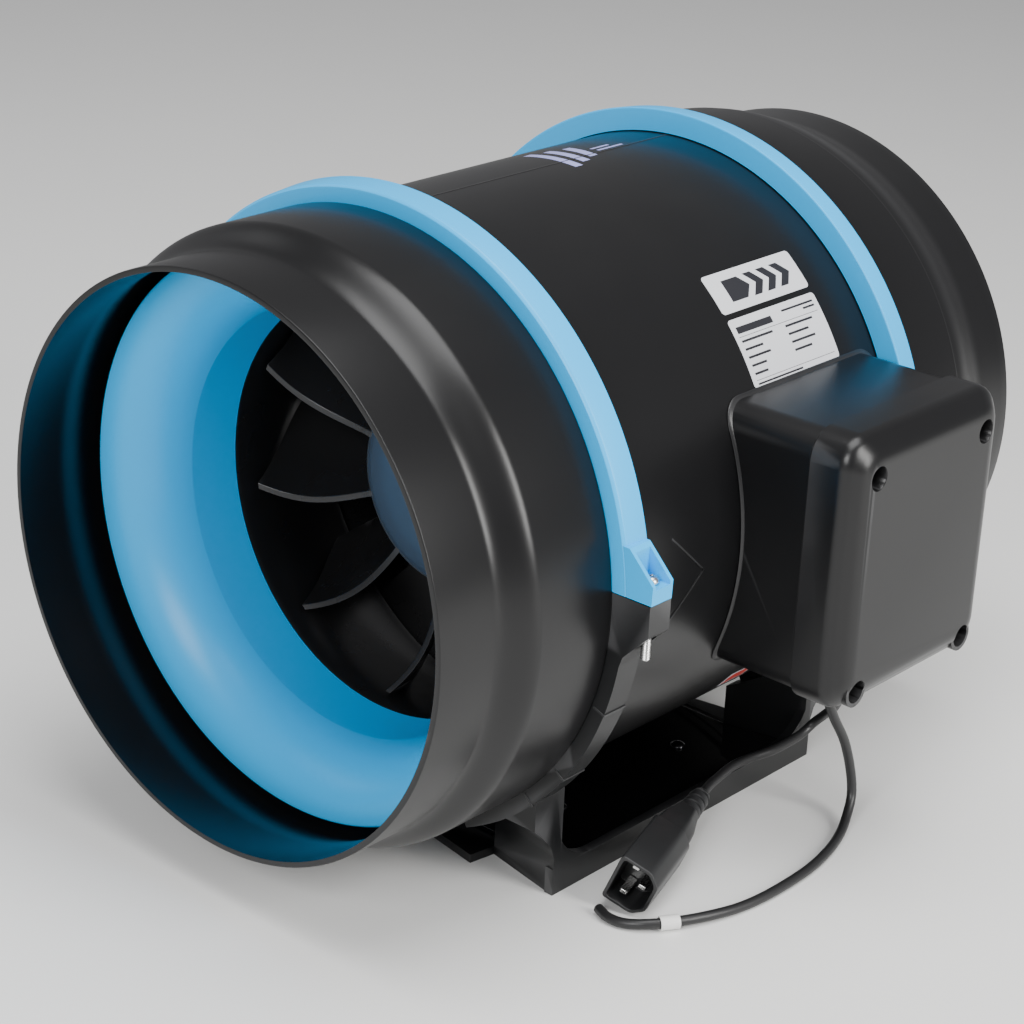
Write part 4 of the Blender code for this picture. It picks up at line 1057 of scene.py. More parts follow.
# --- Impeller and vanes -----------------------------------------------------------------
@dataclass
class Impeller(SubAssembly):
    """The turning wheel: hub, swept blades and nose cap."""

    blades: int = 10
    thickness: float = 0.0017
    tip_gap: float = 0.0016

    def build(self) -> None:
        """Build the hub with its blades, and the cap."""
        steps = 16
        outer = [(self.hub(-0.0620 + 0.0440 * step / steps), -0.0620 + 0.0440 * step / steps)
                 for step in range(steps + 1)]
        inner = [(radius - 0.0025, max(along, -0.0590)) for radius, along in reversed(outer)]
        outline = [(0.0058, -0.0590), (0.0058, -0.0620)] + outer + inner
        wheel = lathe("impeller_hub", outline, self.layout.centre, MEDIUM * 2)
        bm = bmesh.new()
        for index in range(self.blades):
            self.blade(bm, 2.0 * math.pi * index / self.blades)
        blades = solid("impeller_blades", bm)
        self.add(eased_edges(blades, 0.00035, 2, 50.0), WHEEL, body="rotor")
        self.add(wheel, WHEEL, "impeller", body="rotor")
        self.cap()

    def cap(self) -> None:
        """Build the nose cap with its round edge and centre dimple."""
        outline = softened([(0.0, -0.0690), (0.0080, -0.0690, 0.0006), (0.0092, -0.0684, 0.0006),
                            (0.0180, -0.0682, 0.0020), (0.0320, -0.0664, 0.0040), (0.0410, -0.0640, 0.0030),
                            (0.0440, -0.0623, 0.0003), (0.0, -0.0623)], 5)
        self.add(lathe("nose_cap", outline, self.layout.centre, MEDIUM * 2), HUB, "hub_cap", body="rotor")

    @staticmethod
    def hub(along: float) -> float:
        """Return the hub's outer radius at a place along the fan."""
        share = min(max((along + 0.0620) / 0.0440, 0.0), 1.0)
        return 0.0450 + 0.0210 * math.sin(0.5 * math.pi * share)

    def point(self, across: float, share: float) -> tuple[float, float, float]:
        """Return a point on a blade's middle surface as radius, place along and angle.

        Args:
            across: 0 at the hub and 1 at the tip.
            share: 0 at the leading edge and 1 at the trailing edge.

        Returns:
            The radius, the place along the fan and the angle in radians.
        """
        lead_y = -0.0620 - 0.0215 * across ** 1.3
        trail_y = -0.0210 - 0.0060 * across
        along = lead_y + (trail_y - lead_y) * share
        root = self.hub(along) - 0.0012
        tip = liner_radius(along) - self.tip_gap
        bow = 3.0 * math.sin(math.pi * across) * (1.0 - share)
        wrap = (24.0 - 9.0 * across) * share
        return root + (tip - root) * across, along, math.radians(200.3 - 7.3 * across + bow - wrap)

    def blade(self, bm: bmesh.types.BMesh, turn: float) -> None:
        """Add one closed blade, turned by an angle in radians."""
        columns, rows = 14, 12
        sections = []
        for i in range(columns + 1):
            section = []
            edge = [(side, j / rows) for side, run in ((-0.5, range(rows + 1)), (0.5, range(rows, -1, -1)))
                    for j in run]
            for side, share in edge:
                radius, along, angle = self.point(i / columns, share)
                angle += turn + side * self.thickness * (1.75 - 1.0 * min(1.0, 2.5 * share)) / radius
                height = self.layout.axis_z + radius * math.sin(angle)
                section.append((radius * math.cos(angle), along, height))
            sections.append(section)
        skin(bm, sections, wrap=False, cap=True)


@dataclass
class GuideVanes(SubAssembly):
    """The fixed vane housing behind the impeller, and the tail cone."""

    vanes: int = 9
    ring: float = 0.1262
    hub: float = 0.0630
    start_y: float = -0.0157
    end_y: float = 0.0600

    def build(self) -> None:
        """Build the ring, the motor hub, the vanes and the cone."""
        ring = softened([(self.ring - 0.0025, self.start_y, 0.0003), (self.ring, self.start_y, 0.0003),
                         (self.ring, self.end_y, 0.0005), (self.ring - 0.0025, self.end_y, 0.0005)])
        self.add(lathe("vane_ring", ring, self.layout.centre), WHEEL, "guide_vane_housing")
        cup = softened([(0.0070, -0.0120, 0.0003), (self.hub, -0.0120, 0.0015),
                        (self.hub, self.end_y, 0.0003),
                        (self.hub - 0.0025, self.end_y, 0.0003), (self.hub - 0.0025, -0.0090, 0.0010),
                        (0.0070, -0.0090, 0.0003)])
        self.add(lathe("motor_hub", cup, self.layout.centre, MEDIUM * 2), WHEEL)
        self.add(eased_edges(self.blades(), 0.0004, 2, 50.0), WHEEL)
        cone = softened([(0.0, 0.1000), (0.0180, 0.0985, 0.0060), (0.0360, 0.0920, 0.0070),
                         (0.0500, 0.0800, 0.0060), (0.0590, 0.0670, 0.0040),
                         (0.0628, self.end_y + GAP, 0.0002),
                         (0.0590, self.end_y + GAP, 0.0), (0.0470, 0.0790, 0.0), (0.0, 0.0960)], 6)
        self.add(lathe("tail_cone_shell", cone, self.layout.centre, MEDIUM * 2), WHEEL, "tail_cone")

    def blades(self) -> bpy.types.Object:
        """Build the straightening vanes, curved in front and straight behind."""
        bm = bmesh.new()
        steps = 14
        for index in range(self.vanes):
            turn = 2.0 * math.pi * index / self.vanes
            rows = []
            for step in range(steps + 1):
                share = step / steps
                along = 0.0020 + 0.0540 * share
                lean = math.radians(26.0) * (1.0 - share) ** 2
                row = []
                for radius, side in ((self.hub - 0.0012, -1.0), (self.hub - 0.0012, 1.0),
                                     (self.ring - 0.0012, 1.0), (self.ring - 0.0012, -1.0)):
                    angle = turn + lean + side * 0.0010 / radius
                    height = self.layout.axis_z + radius * math.sin(angle)
                    row.append((radius * math.cos(angle), along, height))
                rows.append(row)
            skin(bm, rows, wrap=False, cap=True)
        return solid("guide_vanes", bm)


# --- Clamps -----------------------------------------------------------------------------
@dataclass
class Clamp(SubAssembly):
    """One upper clamp band with its ears, bolts and nuts.

    Attributes:
        row: The clamp's name in the CAD model, inlet or outlet.
        outward: -1 at the inlet and 1 at the outlet.
    """

    row: str = "inlet"
    outward: float = -1.0
    inner: float = 0.1318
    outer: float = 0.1410
    ridge: float = 0.1388
    seat: float = 0.1305
    ear_x: float = 0.1512
    bolt_x: float = 0.1455
    parting: float = 0.0088

    @property
    def middle_y(self) -> float:
        """The band's middle along the fan."""
        return self.layout.inlet_band_y if self.outward < 0.0 else self.layout.outlet_band_y

    def build(self) -> None:
        """Build the band and its fasteners."""
        half = self.layout.band_width / 2.0
        section = softened([(self.inner, half, 0.0003), (self.ridge, half, 0.0003),
                            (self.ridge + 0.0011, half - 0.0011, 0.0005),
                            (self.outer, 0.0004 - half, 0.0004),
                            (self.outer - 0.0006, -half, 0.0004), (self.seat, -half, 0.0),
                            (self.seat, 0.0006 - half, 0.0), (self.inner, 0.0006 - half, 0.0)], 3)
        outline = [(radius, self.middle_y + self.outward * along) for radius, along in section]
        band = lathe(f"{self.row}_band", outline, self.layout.centre)
        for side in (-1.0, 1.0):
            shaped(band, self.ear(side), Cut.ONTO)
        top = self.parting + GAP / 2.0
        shaped(band, block("below", (-0.2, self.middle_y - 0.02, -0.2), (0.2, self.middle_y + 0.02, top),
                           self.layout.axis_z), Cut.AWAY)
        holes = [lathe("hole", [(0.0, -0.03), (0.0023, -0.03), (0.0023, 0.04), (0.0, 0.04)],
                       (side * self.bolt_x, self.middle_y, self.layout.axis_z), SMALL, Axis.Z)
                 for side in (-1.0, 1.0)]
        shaped(band, together("holes", holes), Cut.AWAY)
        self.add(eased_edges(band, 0.0004, 2, 30.0), BLUE, f"{self.row}_clamp_band")
        for column, side in (("near", 1.0), ("far", -1.0)):
            self.bolt(column, side)

    def ear(self, side: float) -> bpy.types.Object:
        """Build a bolt ear: a block with a pocket between two sloping webs."""
        half = self.layout.band_width / 2.0 - 0.0002
        outline = [(0.1360, 0.0), (self.ear_x, 0.0), (self.ear_x + 0.0006, 0.0170), (0.1392, 0.0295),
                   (0.1340, 0.0295)]
        ear = prism("ear", [(side * x, z) for x, z in outline], Axis.Y, self.middle_y - half,
                    self.middle_y + half, self.layout.axis_z)
        near, far = sorted((side * 0.1409, side * 0.1600))
        pocket = block("pocket", (near, self.middle_y - half + 0.0018, self.parting + 0.0066),
                       (far, self.middle_y + half - 0.0018, 0.0400), self.layout.axis_z)
        return shaped(ear, pocket, Cut.AWAY)

    def bolt(self, column: str, side: float) -> None:
        """Build a clamp bolt with its washer head, cross recess and rolled thread, and its nut."""
        centre = (side * self.bolt_x, self.middle_y, self.layout.axis_z)
        seat = self.parting + 0.0066 + GAP
        thread = []
        pitch, turns = 0.0007, 24
        for turn in range(turns):
            low = -0.0172 + pitch * turn
            thread += [(0.00195, low), (0.0021, low + 0.5 * pitch)]
        outline = [(0.0, -0.0178), (0.0014, -0.0178)] + thread + [(0.0020, seat)]
        outline += softened([(0.0036, seat, 0.0003), (0.0036, seat + 0.0013, 0.0006),
                             (0.0024, seat + 0.0027, 0.0010), (0.0, seat + 0.0028)])
        bolt = lathe(f"{self.row}_bolt_{column}", outline, centre, SMALL, Axis.Z)
        shaped(bolt, cross_recess(0.0020, (0.0, 0.0, seat + 0.0016), 0.0020, Axis.Z, centre), Cut.AWAY)
        self.add(bolt, ZINC, f"{self.row}_clamp_bolt_{column}")
        ring = softened([(0.0023, -0.0042, 0.0002), (0.0038, -0.0042, 0.0004), (0.0038, -0.0012, 0.0004),
                         (0.0023, -0.0012, 0.0002)], 2)
        nut = lathe(f"{self.row}_nut_{column}", ring, centre, 6, Axis.Z, sharp=20.0)
        self.add(nut, ZINC, f"{self.row}_clamp_nut_{column}")


def cross_recess(reach: float, bottom: Place, height: float, axis: Axis, centre: Place) -> bpy.types.Object:
    """Build the tool that cuts a cross recess into a screw head.

    Args:
        reach: Half of each slot's length.
        bottom: The recess' bottom along the axis, in its last value.
        height: How far the tool stands over the bottom.
        axis: The screw's axis.
        centre: A point on the screw's axis.

    Returns:
        The tool, tapered to its bottom.
    """
    rows = []
    half = 0.28 * reach
    for along, share in ((bottom[2], 0.55), (bottom[2] + height, 1.0)):
        arm, slot = reach * share, half * share
        plus = [(arm, -slot), (arm, slot), (slot, slot), (slot, arm), (-slot, arm), (-slot, slot),
                (-arm, slot), (-arm, -slot), (-slot, -slot), (-slot, -arm), (slot, -arm), (slot, -slot)]
        rows.append([on_axis(a, along, b, axis, centre) for a, b in plus])
    bm = bmesh.new()
    skin(bm, rows, wrap=False, cap=True)
    return solid("cross_recess", bm)


# --- Bracket ----------------------------------------------------------------------------
@dataclass
class Bracket(SubAssembly):
    """The floor bracket with its four clamp arms, the glossy tray and its screws."""

    half_width: float = 0.0990
    mirror_y: float = -0.0005   # the plane that the floor, walls and corners mirror about
    inner_x: float = 0.0585
    slant: float = 0.0079
    wall: float = 0.0045
    wall_height: float = 0.0125
    floor: float = 0.0040
    tray_top: float = 0.0070
    front_y: float = -0.0916
    arm_inner: float = 0.1322
    arm_outer: float = 0.1393
    ear_x: float = 0.1512
    bolt_x: float = 0.1455
    parting: float = 0.0088

    def build(self) -> None:
        """Build the bracket, the tray and the tray's screws."""
        body = prism("floor_bracket", self.plan(), Axis.Z, 0.0, self.floor)
        back = 2.0 * self.mirror_y - self.front_y
        corner = shaped(self.corner(), self.gusset(), Cut.ONTO)
        parts = []
        for side in (-1.0, 1.0):
            near, far = sorted((side * self.half_width, side * (self.half_width - self.wall)))
            parts.append(block("side", (near, self.front_y, 0.0), (far, back, self.wall_height)))
        for flip_x in (False, True):
            for flip_y in (False, True):
                parts.append(self.mirrored(corner, flip_x, flip_y))
        bpy.data.objects.remove(corner)
        for middle_y in (self.layout.inlet_band_y, self.layout.outlet_band_y):
            arm = self.arm(middle_y)
            parts.append(self.mirrored(arm, True, False))
            parts.append(arm)
        for part in parts:
            shaped(body, part, Cut.ONTO)
        self.add(eased_edges(body, 0.0006, 3, 32.0), BRACKET, "mounting_bracket")
        self.ribs()
        self.tray()

    def plan(self) -> list[Point]:
        """Return the floor's plan, with the tongue that stands out at each end."""
        front = [(self.half_width, self.front_y), (self.inner_x, self.front_y + self.slant),
                 (0.0565, -0.0967), (0.0290, -0.0920)]
        half = front + [(-x, y) for x, y in reversed(front)]
        return half + [(-x, 2.0 * self.mirror_y - y) for x, y in half]

    def mirrored(self, part: bpy.types.Object, flip_x: bool, flip_y: bool) -> bpy.types.Object:
        """Copy a part, mirrored about X = 0, about the bracket's middle plane, or both."""
        bm = bmesh.new()
        bm.from_mesh(part.data)
        for vert in bm.verts:
            if flip_x:
                vert.co.x = -vert.co.x
            if flip_y:
                vert.co.y = 2.0 * self.mirror_y - vert.co.y
        return solid("mirrored", bm)

    def corner(self) -> bpy.types.Object:
        """Build the corner wall under the inlet arm on the +X side."""
        low = -self.layout.axis_z
        outline = [(self.inner_x, low), (self.half_width, low), (self.half_width, -0.0935)]
        outline += arc(0.1357, -43.5, -64.5, 12)[1:]
        front = self.layout.inlet_band_y - self.layout.band_width / 2.0 + 0.0002
        wall = prism("corner", outline, Axis.Y, front, -0.0780, self.layout.axis_z)
        cove = [(-0.1300, low - 0.01), (self.front_y, low - 0.01), (self.front_y, -0.1300)]
        cove += [(self.front_y - 0.0022, -0.1240), (self.front_y - 0.0075, -0.1175), (front, -0.1120)]
        cove += [(-0.1300, -0.1120)]
        shaped(wall, self.slanted(cove, range(1, 5)), Cut.AWAY)
        rear_y = self.front_y + self.wall
        rear = [(-0.0500, low - 0.01), (-0.0500, 0.0), (rear_y, 0.0), (rear_y, low - 0.01)]
        return shaped(wall, self.slanted(rear, range(2, 4)), Cut.AWAY)

    def slanted(self, outline: Sequence[Point], sliding: range) -> bpy.types.Object:
        """Loft a Y-Z outline inwards from the side wall, sliding some points back."""
        rows = []
        reach = self.half_width - self.inner_x
        for x in (self.inner_x - 0.0010, self.half_width + 0.0010):
            shift = self.slant * (self.half_width - x) / reach
            rows.append([(x, y + shift if index in sliding else y, z + self.layout.axis_z)
                         for index, (y, z) in enumerate(outline)])
        bm = bmesh.new()
        skin(bm, rows, wrap=False, cap=True)
        return solid("slanted", bm)

    def gusset(self) -> bpy.types.Object:
        """Build the rounded rise of the side wall into the corner."""
        start = self.front_y + 0.0010
        outline = [(start, 0.0010), (-0.0600, 0.0010), (-0.0600, self.wall_height - 0.0010)]
        outline += arc(0.0250, 270.0, 185.0, 16, (-0.0655, self.wall_height + 0.0250))
        outline += [(start, self.wall_height + 0.0300)]
        return prism("gusset", outline, Axis.X, self.half_width - self.wall, self.half_width)

    def arm(self, middle_y: float) -> bpy.types.Object:
        """Build the +X lower half of a clamp: an ear and an arm along the casing."""
        half = self.layout.band_width / 2.0
        top = self.parting - GAP / 2.0
        start = math.degrees(math.asin(top / self.arm_inner))
        outline = [(self.ear_x, top), (self.ear_x, -0.0045), (0.1392, -0.0170)]
        outline += arc(self.arm_outer, -9.0, -64.0, 36)
        outline += arc(self.arm_inner, -64.0, start, 44)
        arm = prism("arm", outline, Axis.Y, middle_y - half, middle_y + half, self.layout.axis_z)
        centre = (self.bolt_x, middle_y, self.layout.axis_z)
        hole = [(0.0, -0.03), (0.0023, -0.03), (0.0023, 0.04), (0.0, 0.04)]
        shaped(arm, lathe("hole", hole, centre, SMALL, Axis.Z), Cut.AWAY)
        pocket = [(0.0, -0.0100), (0.0043, -0.0100), (0.0043, -0.0009), (0.0, -0.0009)]
        return shaped(arm, lathe("pocket", pocket, centre, 6, Axis.Z), Cut.AWAY)

    def ribs(self) -> None:
        """Build the small stiffening ribs across the arms."""
        ribs = []
        for middle_y in (self.layout.inlet_band_y, self.layout.outlet_band_y):
            for side in (-1.0, 1.0):
                for angle in (-19.0, -36.0, -46.0):
                    turn = math.radians(angle)
                    outline = [(0.1335, -0.0006), (self.arm_outer + 0.0005, -0.0006),
                               (self.arm_outer + 0.0005, 0.0006), (0.1335, 0.0006)]
                    placed = [(side * (r * math.cos(turn) - t * math.sin(turn)),
                               r * math.sin(turn) + t * math.cos(turn))
                              for r, t in outline]
                    half = self.layout.band_width / 2.0 + 0.0003
                    ribs.append(prism("rib", placed, Axis.Y, middle_y - half, middle_y + half,
                                      self.layout.axis_z))
        self.add(eased_edges(together("arm_ribs", ribs), 0.0003, 2), BRACKET)

    def tray(self) -> None:
        """Build the glossy tray with rounded corners, and the four screws that hold it."""
        half = self.half_width - self.wall - GAP
        corner_y = self.front_y + self.wall + 0.0016
        inner_y = corner_y + self.slant
        front = [(half, corner_y, 0.0070), (self.inner_x, inner_y, 0.0040)]
        front += [(-x, y, back) for x, y, back in reversed(front)]
        outline = front + [(-x, 2.0 * self.mirror_y - y, back) for x, y, back in front]
        plate = prism("gloss_tray", softened(outline, 6), Axis.Z, self.floor + GAP, self.tray_top)
        self.add(eased_edges(plate, 0.0007, 3), TRAY, "bracket_tray_plate")
        places = [(x, y) for x in (-0.0595, 0.0595) for y in (-0.0420, 0.0420)]
        for index, (x, y) in enumerate(places, start=1):
            seat = self.tray_top + 0.0001
            outline = [(0.0, 0.0013), (0.0018, 0.0013), (0.0018, seat)]
            outline += softened([(0.0036, seat, 0.0002), (0.0035, seat + 0.0010, 0.0006),
                                 (0.0020, seat + 0.0021, 0.0008), (0.0, seat + 0.0022)])
            screw = lathe(f"tray_screw_head_{index}", outline, (x, y, 0.0), SMALL, Axis.Z)
            tool = cross_recess(0.0019, (0.0, 0.0, seat + 0.0008), 0.0020, Axis.Z, (x, y, 0.0))
            shaped(screw, tool, Cut.AWAY)
            self.add(screw, DARK_SCREW, f"tray_screw_{index}")


# --- Terminal box -----------------------------------------------------------------------
@dataclass
class TerminalBox(SubAssembly):
    """The box on the casing's side: saddle base, lip, cover, screws and glands."""

    corner: float = 0.0110
    wall: float = 0.0025
    step: float = 0.0020
    joint_x: float = 0.1610
    side_x: float = 0.1780
    face_x: float = 0.1850
    chamfer: float = 0.0080
    body: float = 0.1300
    screw_y: tuple[float, float] = (-0.0060, 0.0720)
    screw_z: tuple[float, float] = (-0.0500, 0.0450)
    glands: dict[str, Point] = field(default_factory=lambda: {
        "mains_gland": (0.1340, 0.0530), "control_gland": (0.1440, 0.0330)})

    @property
    def low(self) -> Point:
        """The base's low corner in Y and Z."""
        return (self.layout.box_low.y, self.layout.box_low.z)

    @property
    def high(self) -> Point:
        """The base's high corner in Y and Z."""
        return (self.layout.box_high.y, self.layout.box_high.z)

    @property
    def screw_places(self) -> list[Point]:
        """The cover screws' places in Y and world Z."""
        return [(y, self.layout.axis_z + z) for y in self.screw_y for z in self.screw_z]

    def build(self) -> None:
        """Build every piece of the box that shows."""
        self.base()
        self.lip()
        self.cover()
        self.screws()
        self.gland_pair()

    def base(self) -> None:
        """Build the base: four walls that end in a saddle on the casing."""
        rim_x = self.joint_x - 0.0012
        outline = rounded_rectangle(self.low, self.high, self.corner)
        base = prism("box_base_shell", outline, Axis.X, 0.0900, rim_x)
        inner_low = tuple(edge + self.wall for edge in self.low)
        inner_high = tuple(edge - self.wall for edge in self.high)
        inner = rounded_rectangle(inner_low, inner_high, self.corner - self.wall)
        room = prism("room", inner, Axis.X, 0.0950, 0.1700)
        shaped(room, self.drum(self.body + 0.0033), Cut.AWAY)
        shaped(base, room, Cut.AWAY)
        shaped(base, self.drum(self.body + 0.0006), Cut.AWAY)
        holes = [lathe("hole", [(0.0, -0.0700), (0.0060, -0.0700), (0.0060, -0.0500), (0.0, -0.0500)],
                       (x, y, self.layout.axis_z), SMALL, Axis.Z) for x, y in self.glands.values()]
        shaped(base, together("holes", holes), Cut.AWAY)
        self.add(eased_edges(base, 0.0005, 3, 45.0), CASING, "terminal_box_base")

    def drum(self, radius: float) -> bpy.types.Object:
        """Build a plain cylinder on the fan's axis, longer than the box."""
        outline = [(0.0, -0.0700), (radius, -0.0700), (radius, 0.1400), (0.0, 0.1400)]
        return lathe("drum", outline, self.layout.centre, 2 * FINE)

    def lip(self) -> None:
        """Build the thin raised lip where the base meets the casing."""
        rows = []
        ring = rounded_rectangle(self.low, self.high, self.corner, 10)
        dense = []
        for (y, z), (next_y, next_z) in zip(ring, ring[1:] + ring[:1]):
            span = math.hypot(next_y - y, next_z - z)
            count = max(1, math.ceil(span / 0.003))
            dense += [(y + (next_y - y) * k / count, z + (next_z - z) * k / count) for k in range(count)]
        middle_y = (self.low[0] + self.high[0]) / 2.0
        middle_z = (self.low[1] + self.high[1]) / 2.0
        section = ((-0.0006, 0.0), (0.0010, 0.0), (0.0013, 0.0003), (0.0010, 0.0008), (-0.0006, 0.0013))
        for y, z in dense:
            row = []
            for grow, lift in section:
                wide = y + grow * math.copysign(1.0, y - middle_y) * smooth_step(abs(y - middle_y) / 0.045)
                tall = z + grow * math.copysign(1.0, z - middle_z) * smooth_step(abs(z - middle_z) / 0.050)
                rise = tall - self.layout.axis_z
                radius = self.body + 0.0001 + lift
                row.append((math.sqrt(radius ** 2 - rise ** 2), wide, tall))
            rows.append(row)
        bm = bmesh.new()
        skin(bm, rows, wrap=True, cap=False)
        self.add(solid("box_saddle_lip", bm, 60.0), CASING)

    def lid(self, name: str, inset: float, joint_x: float, face_x: float) -> bpy.types.Object:
        """Build the cover's outer or inner form.

        Args:
            name: The object's name.
            inset: How far it stands inside the cover's outline.
            joint_x: Where it starts.
            face_x: Its outer face.

        Returns:
            A rounded box with a soft chamfer round its outer face.
        """
        side_x = face_x - (self.face_x - self.side_x)
        edge = softened([(0.0, joint_x - 0.1, 0.0), (0.0, side_x, 0.0035), (self.chamfer, face_x, 0.0042),
                         (0.05, face_x, 0.0), (0.05, joint_x - 0.1, 0.0)], 7)
        stations = [(0.0, joint_x)] + [point for point in edge if point[0] < 0.04 and point[1] > joint_x]
        rows = []
        for pull, x in stations:
            shrink = pull + inset - self.step
            low = tuple(value + shrink for value in self.low)
            high = tuple(value - shrink for value in self.high)
            radius = 0.0130 - 0.55 * pull - 0.5 * inset
            rows.append([(x, y, z) for y, z in rounded_rectangle(low, high, radius)])
        bm = bmesh.new()
        skin(bm, rows, wrap=False, cap=True)
        return solid(name, bm)

    def cover(self) -> None:
        """Build the cover with its screw recesses."""
        start = self.joint_x + GAP
        cover = self.lid("box_cover_shell", 0.0, start, self.face_x)
        shaped(cover, self.lid("room", self.wall, 0.1500, self.face_x - self.wall), Cut.AWAY)
        sleeves = [self.post([(0.0068, start + 0.0002), (0.0068, self.face_x - 0.0010)], place)
                   for place in self.screw_places]
        shaped(cover, together("sleeves", sleeves), Cut.ONTO)
        recess = [(0.0023, 0.1500), (0.0023, 0.1710), (0.0048, 0.1710), (0.0050, 0.1845), (0.0056, 0.1853),
                  (0.0056, 0.2000)]
        holes = [self.post(recess, place) for place in self.screw_places]
        shaped(cover, together("recesses", holes), Cut.AWAY)
        self.add(eased_edges(cover, 0.0004, 2, 55.0), CASING, "terminal_box_cover")

    def post(self, outline: Sequence[Point], place: Point) -> bpy.types.Object:
        """Build a round post or stepped hole along X."""
        closed = [(0.0, outline[0][1]), *outline, (0.0, outline[-1][1])]
        return lathe("post", closed, (0.0, place[0], place[1]), SMALL, Axis.X)

    def screws(self) -> None:
        """Build the cover's four sunk screws."""
        for index, (y, z) in enumerate(self.screw_places, start=1):
            outline = [(0.0, 0.1460), (0.0018, 0.1475), (0.0018, 0.1713)]
            outline += softened([(0.0041, 0.1713, 0.0002), (0.0041, 0.1726, 0.0007),
                                 (0.0026, 0.1742, 0.0012),
                                 (0.0, 0.1744)])
            screw = lathe(f"cover_screw_head_{index}", outline, (0.0, y, z), SMALL, Axis.X)
            tool = cross_recess(0.0023, (0.0, 0.0, 0.1727), 0.0030, Axis.X, (0.0, y, z))
            self.add(shaped(screw, tool, Cut.AWAY), DARK_SCREW, f"cover_screw_{index}")

    def gland_pair(self) -> None:
        """Build the two cable glands with their domed caps and hexagon bodies."""
        under = self.low[1] - GAP
        base_z = self.layout.axis_z
        for name, (x, y) in self.glands.items():
            dome = softened([(0.0, 0.0780), (0.0044, 0.0780, 0.0006), (0.0062, 0.0806, 0.0016),
                             (0.0066, 0.0820, 0.0006), (0.0066, 0.0868, 0.0), (0.0, 0.0868)], 5)
            self.add(lathe(f"{name}_dome", dome, (x, y, 0.0), SMALL, Axis.Z), CASING, name)
            hexagon = softened([(0.0, 0.0866), (0.0082, 0.0866, 0.0004), (0.0082, under, 0.0004),
                                (0.0, under)], 2)
            self.add(lathe(f"{name}_hexagon", hexagon, (x, y, 0.0), 6, Axis.Z, sharp=20.0), CASING)
            start, end = under - 0.0005, base_z - 0.0500
            shank = [(0.0, start), (0.0057, start), (0.0057, end), (0.0, end)]
            self.add(lathe(f"{name}_shank", shank, (x, y, 0.0), SMALL, Axis.Z), CASING)


